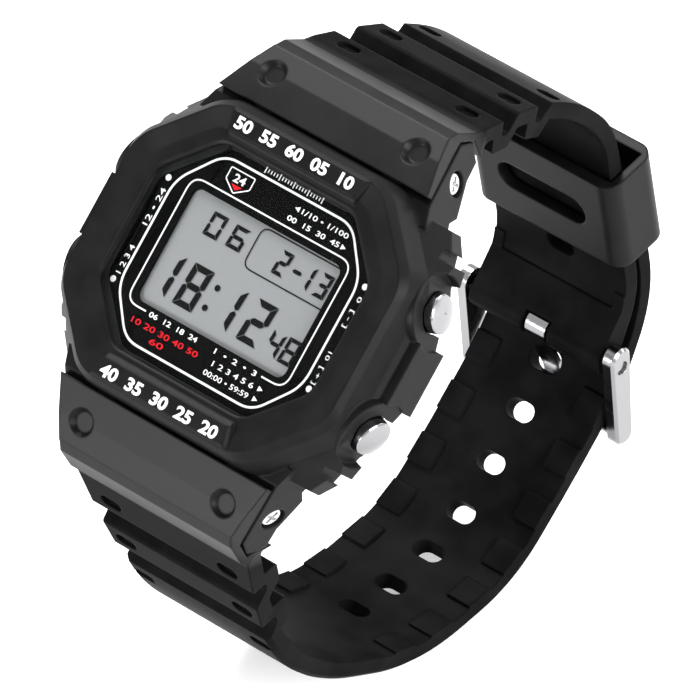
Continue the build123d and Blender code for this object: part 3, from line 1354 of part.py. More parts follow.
def watch_parts():
    """All pieces of the watch by name, in the watch's own axes."""
    pieces = {
        "bezel": bezel(),
        "bezel_screws": both_sides(both_ends(ear_screw_place() * ear_screw())),
        "middle_case": middle_case(),
        "crystal": crystal(),
        "crystal_gasket": crystal_gasket(),
        "face_plate": face_plate(),
        "display_glass": display_glass(),
        "backlight_panel": backlight_panel(),
        "display_connectors": display_connectors(),
        "module_frame": module_frame(),
        "circuit_board": circuit_board(),
        "control_chip": control_chip(),
        "quartz_can": quartz_can(),
        "side_contacts": side_contacts(),
        "battery": battery(),
        "battery_clip": battery_clip(),
        "buzzer": buzzer(),
        "earth_spring": earth_spring(),
        "back_cover": back_cover(),
        "back_gasket": back_gasket(),
        "back_screws": back_screws(),
        "button_seals": joined(on_buttons(seal())),
        "spring_bar_12": spring_bar(),
        "spring_bar_6": mirror(spring_bar(), about=Plane.XZ),
        "strap_short": strap_short(),
        "strap_long": strap_long(),
        "keeper": keeper(),
        "buckle_frame": buckle_frame(),
        "buckle_pin": buckle_pin(),
        "buckle_prong": buckle_prong()}
    cap, clip, spring = button(), button_clip(), button_spring()
    for column, right in (("right", 1), ("left", -1)):
        for row, upper in (("upper", 1), ("lower", -1)):
            place = button_place(right, upper)
            pieces[f"button_{row}_{column}"] = place * cap
            pieces[f"clip_{row}_{column}"] = place * clip
            pieces[f"spring_{row}_{column}"] = place * spring
    return pieces


os.makedirs("parts", exist_ok=True)
for name, piece in watch_parts().items():
    export_step(Rot(LEAN, 0, 0) * Pos(0, 0, BACK_DEPTH) * piece, f"parts/{name}.step")
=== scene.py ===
"""Digital wristwatch on its buckled strap: finishes, dial print, display, lights and camera."""
from math import cos, pi, radians, sin

import bmesh
import bpy
from bpy.props import FloatProperty, FloatVectorProperty, IntProperty, PointerProperty
from mathutils import Matrix, Vector


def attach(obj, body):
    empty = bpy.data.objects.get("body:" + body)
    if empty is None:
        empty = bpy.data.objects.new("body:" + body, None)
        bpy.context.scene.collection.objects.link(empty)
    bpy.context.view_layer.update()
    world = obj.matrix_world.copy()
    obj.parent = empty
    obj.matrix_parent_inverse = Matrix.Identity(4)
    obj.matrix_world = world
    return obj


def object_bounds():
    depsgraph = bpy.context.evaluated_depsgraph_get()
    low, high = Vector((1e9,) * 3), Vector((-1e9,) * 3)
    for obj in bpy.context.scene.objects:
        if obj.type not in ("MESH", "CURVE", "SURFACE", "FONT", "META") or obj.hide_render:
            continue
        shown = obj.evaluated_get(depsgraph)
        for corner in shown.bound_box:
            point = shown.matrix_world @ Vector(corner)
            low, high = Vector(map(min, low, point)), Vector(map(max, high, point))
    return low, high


bl_info = {
    "name": "Digital Wristwatch",
    "version": (1, 0, 0),
    "blender": (4, 5, 0),
    "location": "View3D > Sidebar > Watch",
    "description": "Dresses the watch with its finishes, dial print and display, and sets its stage",
    "category": "Object",
}

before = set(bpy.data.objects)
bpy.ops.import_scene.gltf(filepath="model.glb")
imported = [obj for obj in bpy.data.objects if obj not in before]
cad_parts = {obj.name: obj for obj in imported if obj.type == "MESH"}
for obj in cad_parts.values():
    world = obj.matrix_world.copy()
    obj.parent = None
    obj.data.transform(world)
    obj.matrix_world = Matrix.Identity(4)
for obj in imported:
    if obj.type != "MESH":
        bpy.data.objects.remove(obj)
CAD_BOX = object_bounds()

# The dial's own frame: millimetres, x to 3 o'clock, y to 12 o'clock, z out of the printed face.
MM = 0.001
LEAN = radians(43.7)
BACK_DEPTH = 11.5
DIAL = (
    Matrix.Rotation(LEAN, 4, "X")
    @ Matrix.Scale(MM, 4)
    @ Matrix.Translation((0, 0, BACK_DEPTH))
)
CASE = "watch_case"

# Heights over the printed face and thickness of the print, in dial millimetres. The digits and their
# painted shadow lie over the display's upper side, and the painted shadow is a grey copy shifted sideways.
PRINT_LIFT = 0.012
INK_THICK = 0.01
BAR_TOP = 2.305
DISPLAY_TOP = -0.5
DIGIT_LIFT = 0.03
PAINTED_SHADOW_LIFT = 0.008
PAINTED_SHADOW_SHIFT = Vector((0.13, -0.05))
MERGE_DISTANCE = 0.0005

# Depth of the surface relief and radius of the softened edges, in metres.
HAIR_RELIEF = 0.00001
FINE_RELIEF = 0.00002
COARSE_RELIEF = 0.00003
SHARP_EDGE = 0.00006
MODULE_EDGE = 0.0001
STEEL_EDGE = 0.00012
STRAP_EDGE = 0.00035
SHELL_EDGE = 0.0004

# The strap's hoods have a satin sheen, which fades out between these distances, in metres, from the line
# that crosses the dial's centre from side to side.
SATIN_END = 0.0256
MATT_START = 0.0280
RESIN_SHEEN = 0.08
HOOD_SHEEN = 0.13
RIB_SHEEN = 0.008
PRINT_SHEEN = 0.1
FACE_SHEEN = 0.03

# Strength of the floor's own glow and of the surroundings, for the object and where they are seen.
FLOOR_GLOW = 0.45
WORLD_LIGHT = 0.5
WHITE = 1.0

# Half the floor's width, in metres, and the lamps: name, place, aim, size and power.
FLOOR_REACH = 3.0
LAMPS = [
    ("right_soft", (0.8, 0.0, 0.3), (0, 0, -0.01), 0.5, 11),
    ("upper_left_soft", (-0.48, 0.3, 0.75), (0, 0, 0), 0.4, 10),
    ("front_soft", (-0.3, -0.85, 0.06), (0, 0, 0), 0.3, 9),
    ("back_soft", (0.3, 0.7, 0.4), (0, 0.02, 0), 0.4, 3),
]

# Direction from the watch to the camera, and the point that it looks at, in metres.
CAMERA_WAY = Vector((0.51495963, -0.5794941, 0.63166697))
CAMERA_AIM = Vector((0.01182634, -0.00347105, 0.00277739))
SENSOR_WIDTH = 36
CLIP_NEAR = 0.05
CLIP_FAR = 20


# Small helpers for flat closed shapes in dial millimetres.

def rounded_line(corners, radius, closed=True, steps=6):
    """Line through corners, each turned on a quadratic curve that starts a radius away."""
    line = []
    count = len(corners)
    for i, corner in enumerate(corners):
        here = Vector(corner)
        if not closed and i in (0, count - 1):
            line.append(here)
            continue
        before = Vector(corners[i - 1])
        after = Vector(corners[(i + 1) % count])
        start = here + (before - here).normalized() * radius
        end = here + (after - here).normalized() * radius
        for k in range(steps + 1):
            t = k / steps
            line.append((1 - t) ** 2 * start + 2 * t * (1 - t) * here + t * t * end)
    return line


def stroke(line, width, closed=True):
    """Quads along a line, mitred at its corners."""
    count = len(line)
    left, right = [], []
    for i, point in enumerate(line):
        ahead = line[(i + 1) % count] - point if closed or i < count - 1 else None
        behind = point - line[i - 1] if closed or i else None
        ahead = ahead if ahead is not None else behind
        behind = behind if behind is not None else ahead
        ahead, behind = ahead.normalized(), behind.normalized()
        way = (ahead + behind).normalized()
        normal = Vector((-way.y, way.x))
        reach = width / 2 / max(0.5, way.dot(ahead))
        left.append(point + normal * reach)
        right.append(point - normal * reach)
    last = count if closed else count - 1
    return [
        [right[i], right[(i + 1) % count], left[(i + 1) % count], left[i]]
        for i in range(last)
    ]


def disc(centre, radius, steps=20):
    """Round dot as one polygon."""
    return [
        Vector((centre[0] + radius * cos(2 * pi * i / steps),
                centre[1] + radius * sin(2 * pi * i / steps)))
        for i in range(steps)
    ]


def ink(name, polygons, low, thick=INK_THICK):
    """Thin closed mesh of flat polygons, their lower faces at low, in the dial's frame."""
    shell = bmesh.new()
    for polygon in polygons:
        corners = [shell.verts.new((p[0], p[1], 0)) for p in polygon]
        shell.faces.new(corners)
    bmesh.ops.remove_doubles(shell, verts=shell.verts, dist=MERGE_DISTANCE)
    bmesh.ops.recalc_face_normals(shell, faces=shell.faces)
    for face in shell.faces:
        if face.normal.z > 0:
            face.normal_flip()
    top = bmesh.ops.extrude_face_region(shell, geom=list(shell.faces))
    raised = [v for v in top["geom"] if isinstance(v, bmesh.types.BMVert)]
    bmesh.ops.translate(shell, verts=raised, vec=(0, 0, thick))
    bmesh.ops.recalc_face_normals(shell, faces=shell.faces)
    mesh = bpy.data.meshes.new(name)
    shell.to_mesh(mesh)
    shell.free()
    mesh.transform(DIAL @ Matrix.Translation((0, 0, low)))
    return link(name, mesh)


def link(name, mesh):
    """New object at the origin with its place in its mesh."""
    piece = bpy.data.objects.new(name, mesh)
    bpy.context.scene.collection.objects.link(piece)
    return piece


def numerals(text, start, length, cap, turn=0.0, weight=0.0, low=PRINT_LIFT):
    """Mesh of plain numerals whose baseline runs from start over the given length."""
    curve = bpy.data.curves.new("numerals", "FONT")
    curve.body = text
    curve.size = 1.0
    curve.offset = weight
    curve.extrude = 0.001
    curve.resolution_u = 3
    holder = bpy.data.objects.new("numerals", curve)
    bpy.context.scene.collection.objects.link(holder)
    bpy.context.view_layer.update()
    graph = bpy.context.evaluated_depsgraph_get()
    mesh = bpy.data.meshes.new_from_object(holder.evaluated_get(graph))
    bpy.data.objects.remove(holder)
    bpy.data.curves.remove(curve)
    xs = [v.co.x for v in mesh.vertices]
    ys = [v.co.y for v in mesh.vertices]
    wide = length / (max(xs) - min(xs))
    tall = cap / (max(ys) - min(ys))
    lowest = min(v.co.z for v in mesh.vertices)
    highest = max(v.co.z for v in mesh.vertices)
    thick = INK_THICK / (highest - lowest)
    mesh.transform(Matrix.Translation((-min(xs), -min(ys), -lowest)))
    mesh.transform(Matrix.Diagonal((wide, tall, thick, 1)))
    place = Matrix.Translation((start[0], start[1], low)) @ Matrix.Rotation(radians(turn), 4, "Z")
    mesh.transform(DIAL @ place)
    return mesh


def joined(name, meshes):
    """One object from several meshes."""
    whole = bmesh.new()
    for mesh in meshes:
        whole.from_mesh(mesh)
        bpy.data.meshes.remove(mesh)
    mesh = bpy.data.meshes.new(name)
    whole.to_mesh(mesh)
    whole.free()
    return link(name, mesh)


# Materials.

def material(name, colour, roughness, metallic=0.0):
    """Principled material with its shader and tree."""
    finish = bpy.data.materials.new(name)
    finish.use_nodes = True
    shader = finish.node_tree.nodes["Principled BSDF"]
    shader.inputs["Base Color"].default_value = (*colour, 1)
    shader.inputs["Roughness"].default_value = roughness
    shader.inputs["Metallic"].default_value = metallic
    return finish, shader, finish.node_tree


def object_places(tree):
    """Object coordinates of a piece, in metres."""
    return tree.nodes.new("ShaderNodeTexCoord").outputs["Object"]


def noise(tree, places, scale, detail=2.0, rough=0.5):
    """Noise texture on the piece's coordinates; scale is in features per metre."""
    node = tree.nodes.new("ShaderNodeTexNoise")
    node.inputs["Scale"].default_value = scale
    node.inputs["Detail"].default_value = detail
    node.inputs["Roughness"].default_value = rough
    tree.links.new(places, node.inputs["Vector"])
    return node.outputs["Fac"]


def ramp(tree, value, low, high, dark, light):
    """Colour between dark and light as the value goes from low to high."""
    node = tree.nodes.new("ShaderNodeValToRGB")
    node.color_ramp.elements[0].position = low
    node.color_ramp.elements[1].position = high
    node.color_ramp.elements[0].color = (*dark, 1)
    node.color_ramp.elements[1].color = (*light, 1)
    tree.links.new(value, node.inputs["Fac"])
    return node.outputs["Color"]


def span(tree, value, low, high):
    """Value between low and high from a value between 0 and 1."""
    node = tree.nodes.new("ShaderNodeMapRange")
    node.inputs["To Min"].default_value = low
    node.inputs["To Max"].default_value = high
    tree.links.new(value, node.inputs["Value"])
    return node.outputs["Result"]


def combine(tree, operation, first, second):
    """Math node on two values or sockets."""
    node = tree.nodes.new("ShaderNodeMath")
    node.operation = operation
    for socket, value in zip(node.inputs, (first, second)):
        if isinstance(value, bpy.types.NodeSocket):
            tree.links.new(value, socket)
        else:
            socket.default_value = value
    return node.outputs[0]


def seen_directly(tree):
    """One for a ray from the camera, a reflection or a look through glass, and zero for any other."""
    path = tree.nodes.new("ShaderNodeLightPath").outputs
    indirect = combine(tree, "MAXIMUM", path["Is Glossy Ray"], path["Is Transmission Ray"])
    return combine(tree, "MAXIMUM", path["Is Camera Ray"], indirect)


def bump(tree, shader, height, strength, depth, edge=0.0):
    """Surface relief from a height, over edges rounded by the given radius in metres."""
    node = tree.nodes.new("ShaderNodeBump")
    node.inputs["Strength"].default_value = strength
    node.inputs["Distance"].default_value = depth
    tree.links.new(height, node.inputs["Height"])
    if edge:
        soft = tree.nodes.new("ShaderNodeBevel")
        soft.samples = 6
        soft.inputs["Radius"].default_value = edge
        tree.links.new(soft.outputs["Normal"], node.inputs["Normal"])
    tree.links.new(node.outputs["Normal"], shader.inputs["Normal"])


def moulded(name, colour, roughness, grain, depth, edge=0.0, mottle=0.25):
    """Moulded resin with a fine spark-eroded grain and slightly uneven gloss."""
    finish, shader, tree = material(name, colour, roughness)
    shader.inputs["Specular IOR Level"].default_value = RESIN_SHEEN
    places = object_places(tree)
    fine = noise(tree, places, grain, 3.0, 0.6)
    broad = noise(tree, places, grain / 25, 2.0)
    dark = tuple(c * (1 - mottle) for c in colour)
    light = tuple(c * (1 + mottle) for c in colour)
    tree.links.new(ramp(tree, broad, 0.35, 0.65, dark, light), shader.inputs["Base Color"])
    tree.links.new(span(tree, broad, roughness - 0.05, roughness + 0.06), shader.inputs["Roughness"])
    bump(tree, shader, fine, 0.5, depth, edge)
    return finish


def satin_hoods(finish):
    """Gives a strap's resin a satin sheen near the case and leaves it matt farther out."""
    tree = finish.node_tree
    offset = tree.nodes.new("ShaderNodeVectorMath")
    offset.operation = "SUBTRACT"
    offset.inputs[1].default_value = DIAL.translation
    tree.links.new(object_places(tree), offset.inputs[0])
    upright = tree.nodes.new("ShaderNodeVectorMath")
    upright.operation = "MULTIPLY"
    upright.inputs[1].default_value = (0, 1, 1)
    tree.links.new(offset.outputs["Vector"], upright.inputs[0])
    distance = tree.nodes.new("ShaderNodeVectorMath")
    distance.operation = "LENGTH"
    tree.links.new(upright.outputs["Vector"], distance.inputs[0])
    fade = tree.nodes.new("ShaderNodeMapRange")
    fade.inputs["From Min"].default_value = SATIN_END
    fade.inputs["From Max"].default_value = MATT_START
    fade.inputs["To Min"].default_value = HOOD_SHEEN
    fade.inputs["To Max"].default_value = RIB_SHEEN
    tree.links.new(distance.outputs["Value"], fade.inputs["Value"])
    shader = tree.nodes["Principled BSDF"]
    tree.links.new(fade.outputs["Result"], shader.inputs["Specular IOR Level"])


def polished(name, colour, roughness, edge=SHARP_EDGE):
    """Polished metal with faint handling marks."""
    finish, shader, tree = material(name, colour, roughness, metallic=1.0)
    places = object_places(tree)
    marks = noise(tree, places, 900, 4.0, 0.7)
    tree.links.new(span(tree, marks, roughness * 0.6, roughness * 1.5), shader.inputs["Roughness"])
    bump(tree, shader, marks, 0.15, HAIR_RELIEF, edge)
    return finish


def brushed(name, colour, roughness):
    """Metal with a straight brushed grain across the watch."""
    finish, shader, tree = material(name, colour, roughness, metallic=1.0)
    places = object_places(tree)
    stretch = tree.nodes.new("ShaderNodeMapping")
    stretch.inputs["Scale"].default_value = (0.04, 1, 1)
    tree.links.new(places, stretch.inputs["Vector"])
    lines = noise(tree, stretch.outputs["Vector"], 9000, 2.0)
    tree.links.new(span(tree, lines, roughness * 0.8, roughness * 1.3), shader.inputs["Roughness"])
    bump(tree, shader, lines, 0.3, HAIR_RELIEF)
    return finish


def printed(name, colour, roughness=0.35):
    """Screen-printed ink with a slightly uneven edge tone."""
    finish, shader, tree = material(name, colour, roughness)
    shader.inputs["Specular IOR Level"].default_value = PRINT_SHEEN
    places = object_places(tree)
    spots = noise(tree, places, 5000, 2.0)
    dark = tuple(c * 0.94 for c in colour)
    tree.links.new(ramp(tree, spots, 0.3, 0.7, dark, colour), shader.inputs["Base Color"])
    return finish


def clear_glass(name, tint):
    """Flat watch glass: mostly clear, and mirror-like at a low angle on its outer side."""
    finish, shader, tree = material(name, tint, 0.02)
    clear = tree.nodes.new("ShaderNodeBsdfTransparent")
    clear.inputs["Color"].default_value = (*tint, 1)
    gloss = tree.nodes.new("ShaderNodeBsdfGlossy")
    gloss.inputs["Roughness"].default_value = 0.02
    gloss.inputs["Color"].default_value = (0.9, 0.93, 0.95, 1)
    rim = tree.nodes.new("ShaderNodeFresnel")
    rim.inputs["IOR"].default_value = 1.1
    face = tree.nodes.new("ShaderNodeNewGeometry")
    outer = combine(tree, "SUBTRACT", 1, face.outputs["Backfacing"])
    mixed = tree.nodes.new("ShaderNodeMixShader")
    tree.links.new(combine(tree, "MULTIPLY", rim.outputs["Fac"], outer), mixed.inputs["Fac"])
    tree.links.new(clear.outputs["BSDF"], mixed.inputs[1])
    tree.links.new(gloss.outputs["BSDF"], mixed.inputs[2])
    output = tree.nodes["Material Output"]
    tree.links.new(mixed.outputs["Shader"], output.inputs["Surface"])
    tree.nodes.remove(shader)
    return finish


def dress(finish, *names):
    """Gives the CAD nodes of these names the finish."""
    for name in names:
        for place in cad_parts[name].material_slots:
            place.material = finish


def four(prefix):
    """Names of the four like nodes of the push buttons."""
    return [f"{prefix}_{row}_{side}" for row in ("upper", "lower") for side in ("right", "left")]


def settle(piece, finish, body=CASE):
    """Finishes a new piece and fixes it to its body."""
    piece.data.materials.clear()
    piece.data.materials.append(finish)
    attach(piece, body)


# What a user would change.

class ResinSettings(bpy.types.PropertyGroup):
    """Colours of the moulded pieces."""
    bezel_colour: FloatVectorProperty(
        name="Bezel", description="Colour of the bezel's resin", subtype="COLOR",
        size=3, min=0, max=1, default=(0.0065, 0.0065, 0.007))
    strap_colour: FloatVectorProperty(
        name="Strap", description="Colour of the strap and keeper", subtype="COLOR",
        size=3, min=0, max=1, default=(0.0058, 0.0058, 0.0062))
    grain: FloatProperty(
        name="Grain", description="Moulded grain, in features per metre",
        default=6500, min=1000, max=20000)


class MetalSettings(bpy.types.PropertyGroup):
    """Finish of the steel pieces."""
    steel_colour: FloatVectorProperty(
        name="Steel", description="Colour of the polished steel", subtype="COLOR",
        size=3, min=0, max=1, default=(0.3, 0.3, 0.31))
    polish: FloatProperty(
        name="Polish", description="Roughness of the polished steel",
        subtype="FACTOR", default=0.16, min=0.02, max=0.6)


class DialSettings(bpy.types.PropertyGroup):
    """Print on the dial and bezel."""
    ink_colour: FloatVectorProperty(
        name="Ink", description="Colour of the white print", subtype="COLOR",
        size=3, min=0, max=1, default=(0.86, 0.86, 0.86))
    accent_colour: FloatVectorProperty(
        name="Accent", description="Colour of the red print", subtype="COLOR",
        size=3, min=0, max=1, default=(0.55, 0.012, 0.018))
    face_colour: FloatVectorProperty(
        name="Face", description="Colour of the dial's ground", subtype="COLOR",
        size=3, min=0, max=1, default=(0.003, 0.003, 0.003))
    frame_line: FloatProperty(
        name="Frame line", description="Width of the eight-sided line in millimetres",
        default=0.26, min=0.05, max=1)
    window_line: FloatProperty(
        name="Window line", description="Width of the line round the display in millimetres",
        default=0.17, min=0.05, max=1)
    tick_count: IntProperty(
        name="Ticks", description="Number of ticks in the scale above the display",
        default=21, min=3, max=60)
    tick_pitch: FloatProperty(
        name="Tick pitch", description="Distance between ticks in millimetres",
        default=0.4, min=0.1, max=2)


class DisplaySettings(bpy.types.PropertyGroup):
    """Liquid crystal display."""
    ground_colour: FloatVectorProperty(
        name="Ground", description="Colour of the unlit display", subtype="COLOR",
        size=3, min=0, max=1, default=(0.25, 0.25, 0.255))
    segment_colour: FloatVectorProperty(
        name="Segments", description="Colour of the dark segments", subtype="COLOR",
        size=3, min=0, max=1, default=(0.004, 0.004, 0.004))
    segment_width: FloatProperty(
        name="Segment width", description="Width of a large digit's segments in millimetres",
        default=0.72, min=0.2, max=1.5)


class StageSettings(bpy.types.PropertyGroup):
    """Floor, light and camera."""
    floor_colour: FloatVectorProperty(
        name="Floor", description="Colour of the floor", subtype="COLOR",
        size=3, min=0, max=1, default=(0.8, 0.8, 0.8))
    lens: FloatProperty(
        name="Lens", description="Camera's focal length in millimetres",
        default=564.25, min=20, max=1000)
    distance: FloatProperty(
        name="Distance", description="Camera's distance from the watch",
        subtype="DISTANCE", unit="LENGTH", default=1.161, min=0.2, max=5)


# Pieces.

class WATCH_OT_case(bpy.types.Operator):
    """Finish the bezel, case, glass, case back and the parts inside"""
    bl_idname = "watch.case"
    bl_label = "Case"

    def execute(self, context):
        resin = context.scene.watch_resin
        metal = context.scene.watch_metal
        grain = resin.grain
        colour = tuple(resin.bezel_colour)
        dress(moulded("bezel_resin", colour, 0.4, grain, COARSE_RELIEF, SHELL_EDGE), "bezel")
        inner = moulded("case_resin", (0.02, 0.02, 0.021), 0.45, grain, FINE_RELIEF, MODULE_EDGE)
        dress(inner, "middle_case")
        dress(clear_glass("watch_glass", (0.97, 0.98, 0.98)), "crystal")
        dress(moulded("seal_rubber", (0.02, 0.02, 0.02), 0.7, 9000, HAIR_RELIEF), "crystal_gasket",
              "back_gasket", "button_seals", "display_connectors")
        dress(brushed("cover_steel", (0.34, 0.34, 0.35), 0.32), "back_cover")
        dress(polished("screw_steel", (0.72, 0.72, 0.72), 0.2), "bezel_screws", "back_screws")
        dress(polished("spring_steel", (0.56, 0.56, 0.57), 0.3), "spring_bar_12", "spring_bar_6",
              "battery_clip", "earth_spring", "side_contacts", *four("clip"), *four("spring"))
        frame_resin = moulded("module_resin", (0.07, 0.07, 0.075), 0.5, 5000, FINE_RELIEF, MODULE_EDGE)
        dress(frame_resin, "module_frame")
        dress(printed("board_laminate", (0.02, 0.12, 0.05)), "circuit_board")
        dress(moulded("chip_resin", (0.015, 0.015, 0.015), 0.6, 9000, HAIR_RELIEF), "control_chip")
        dress(brushed("can_metal", (0.7, 0.7, 0.69), 0.25), "quartz_can")
        dress(brushed("cell_steel", (0.66, 0.66, 0.66), 0.22), "battery")
        dress(polished("contact_brass", (0.6, 0.42, 0.14), 0.25), "buzzer")
        dress(printed("light_panel", (0.55, 0.68, 0.6)), "backlight_panel")
        steel = polished("polished_steel", tuple(metal.steel_colour), metal.polish, STEEL_EDGE)
        dress(steel, "buckle_frame", "buckle_pin", "buckle_prong", *four("button"))
        return {"FINISHED"}


class WATCH_OT_strap(bpy.types.Operator):
    """Finish both halves of the strap and the keeper"""
    bl_idname = "watch.strap"
    bl_label = "Strap"

    def execute(self, context):
        resin = context.scene.watch_resin
        colour = tuple(resin.strap_colour)
        strap = moulded("strap_resin", colour, 0.4, resin.grain, FINE_RELIEF, STRAP_EDGE)
        satin_hoods(strap)
        dress(strap, "strap_short", "strap_long")
        dress(moulded("keeper_resin", colour, 0.4, resin.grain, FINE_RELIEF, SHELL_EDGE), "keeper")
        return {"FINISHED"}


# Print of the dial, in dial millimetres: lines, dots, arrows, badge and tick scale.
FRAME_ROUND = 1.7
WINDOW_ROUND = 1.6
DOT_RADIUS = 0.36
DOTS = [(-13.96, 6.12), (-13.98, -6.15), (14.0, 6.1), (13.96, -6.14)]
ARROWS = [
    [(1.72, 9.86), (2.36, 9.56), (2.36, 10.16)],
    [(9.68, 8.6), (9.04, 8.9), (9.04, 8.3)],
    [(9.08, -8.72), (8.44, -8.42), (8.44, -9.02)],
    [(9.08, -9.92), (8.44, -9.62), (8.44, -10.22)],
]
BADGE = [(-7.62, 10.42), (-4.28, 10.42), (-4.28, 9.06), (-5.95, 7.98), (-7.62, 9.06)]
BADGE_ROUND = 0.14
BADGE_LINE = 0.13
BADGE_MARK = [(-6.72, 8.86), (-5.95, 8.3), (-5.18, 8.86)]
TICK_WIDTH = 0.14
TICK_SHORT = 0.4
TICK_LONG = 0.72
TICK_FOOT = 11.87
TICK_SHIFT = 0.3
LONG_TICK_EVERY = 5


def window_frame():
    """Lines round the display, open at its foot for the small numerals."""
    half_x, high, foot, left_end, right_end = 11.3, 7.62, 7.46, 8.4, 8.1
    corners = [
        (-left_end, -foot), (-half_x, -foot), (-half_x, high),
        (half_x, high), (half_x, -foot), (right_end, -foot)]
    return rounded_line(corners, WINDOW_ROUND, closed=False)


def frame_corners():
    """Corners of the eight-sided line round the dial."""
    x, y, flat_x, flat_y = 13.1, 11.15, 9.0, 6.3
    return [
        (x, -flat_y), (x, flat_y), (flat_x, y), (-flat_x, y),
        (-x, flat_y), (-x, -flat_y), (-flat_x, -y), (flat_x, -y)]


def tick_tree():
    """Node tree that sets out a scale of ticks, every fifth one longer."""
    tree = bpy.data.node_groups.new("tick_scale", "GeometryNodeTree")
    sockets = tree.interface
    sockets.new_socket("Geometry", in_out="OUTPUT", socket_type="NodeSocketGeometry")
    sockets.new_socket("Count", in_out="INPUT", socket_type="NodeSocketInt")
    for label in ("Pitch", "Width", "Short", "Long"):
        sockets.new_socket(label, in_out="INPUT", socket_type="NodeSocketFloat")
    sockets.new_socket("Ink", in_out="INPUT", socket_type="NodeSocketMaterial")
    nodes, links = tree.nodes, tree.links
    given = nodes.new("NodeGroupInput")
    result = nodes.new("NodeGroupOutput")
    row = nodes.new("GeometryNodeMeshLine")
    step = nodes.new("ShaderNodeCombineXYZ")
    links.new(given.outputs["Count"], row.inputs["Count"])
    links.new(given.outputs["Pitch"], step.inputs["X"])
    links.new(step.outputs["Vector"], row.inputs["Offset"])
    tick = nodes.new("GeometryNodeMeshCube")
    size = nodes.new("ShaderNodeCombineXYZ")
    size.inputs["Z"].default_value = INK_THICK
    links.new(given.outputs["Width"], size.inputs["X"])
    size.inputs["Y"].default_value = 1.0
    links.new(size.outputs["Vector"], tick.inputs["Size"])
    index = nodes.new("GeometryNodeInputIndex")
    fifth = nodes.new("FunctionNodeCompare")
    fifth.data_type = "INT"
    fifth.operation = "EQUAL"
    rest = nodes.new("ShaderNodeMath")
    rest.operation = "MODULO"
    rest.inputs[1].default_value = LONG_TICK_EVERY
    links.new(index.outputs["Index"], rest.inputs[0])
    links.new(rest.outputs[0], fifth.inputs["A"])
    fifth.inputs["B"].default_value = 0
    tall = nodes.new("GeometryNodeSwitch")
    tall.input_type = "FLOAT"
    links.new(fifth.outputs["Result"], tall.inputs["Switch"])
    links.new(given.outputs["Short"], tall.inputs["False"])
    links.new(given.outputs["Long"], tall.inputs["True"])
    scale = nodes.new("ShaderNodeCombineXYZ")
    scale.inputs["X"].default_value = 1
    scale.inputs["Z"].default_value = 1
    links.new(tall.outputs["Output"], scale.inputs["Y"])
    placed = nodes.new("GeometryNodeInstanceOnPoints")
    links.new(row.outputs["Mesh"], placed.inputs["Points"])
    links.new(tick.outputs["Mesh"], placed.inputs["Instance"])
    links.new(scale.outputs["Vector"], placed.inputs["Scale"])
    real = nodes.new("GeometryNodeRealizeInstances")
    inked = nodes.new("GeometryNodeSetMaterial")
    links.new(placed.outputs["Instances"], real.inputs["Geometry"])
    links.new(real.outputs["Geometry"], inked.inputs["Geometry"])
    links.new(given.outputs["Ink"], inked.inputs["Material"])
    links.new(inked.outputs["Geometry"], result.inputs["Geometry"])
    return tree


def tick_scale(dial, finish):
    """Plain mesh of the tick scale, from its node tree."""
    tree = tick_tree()
    holder = link("tick_scale", bpy.data.meshes.new("tick_scale"))
    maker = holder.modifiers.new("ticks", "NODES")
    maker.node_group = tree
    values = {
        "Count": dial.tick_count, "Pitch": dial.tick_pitch, "Width": TICK_WIDTH,
        "Short": TICK_SHORT, "Long": TICK_LONG, "Ink": finish}
    for item in tree.interface.items_tree:
        if item.in_out == "INPUT":
            maker[item.identifier] = values[item.name]
    bpy.context.view_layer.update()
    graph = bpy.context.evaluated_depsgraph_get()
    mesh = bpy.data.meshes.new_from_object(holder.evaluated_get(graph))
    holder.modifiers.remove(maker)
    holder.data = mesh
    start = TICK_SHIFT - dial.tick_pitch * (dial.tick_count - 1) / 2
    mesh.transform(DIAL @ Matrix.Translation((start, TICK_FOOT, PRINT_LIFT + INK_THICK / 2)))
    return holder


# Small numerals: words, start, length, cap height, turn and weight.
DIAL_NUMERALS = [
    ("1/10 • 1/100", (2.75, 9.56), 6.5, 0.6, 0, 0.012),
    ("00  15  30  45", (1.45, 8.3), 7.3, 0.6, 0, 0.012),
    ("06  12  18  24", (-7.85, -7.8), 6.8, 0.6, 0, 0.012),
    ("1  •  2  •  3", (1.5, -7.82), 5.9, 0.6, 0, 0.012),
    ("1 2 3 4 5 6", (2.0, -9.1), 5.8, 0.62, 0, 0.004),
    ("00:00 • 59:59", (1.5, -10.3), 6.3, 0.62, 0, 0.004),
    ("12 • 24", (-13.45, 0.5), 4.4, 0.68, 90, 0.004),
    ("1 2 3 4", (-13.45, -5.35), 3.35, 0.68, 90, 0.004),
    ("0  [ - ]", (13.72, 4.95), 3.65, 0.68, -90, 0.004),
    ("10  [ + ]", (13.72, -1.65), 3.85, 0.68, -90, 0.004),
    ("24", (-6.75, 9.1), 1.6, 0.95, 0, 0.02),
]
RED_NUMERALS = [
    ("10 20 30 40 50", (-9.5, -9.2), 9.4, 0.68, 0, 0.012),
    ("60", (-6.25, -10.32), 1.9, 0.68, 0, 0.012),
]
BAR_NUMERALS = [
    ("50  55  60  05  10", (-8.5, 14.15), 16.6, 1.5, 0, 0.035),
    ("40  35  30  25  20", (-8.5, -15.75), 16.6, 1.5, 0, 0.035),
]


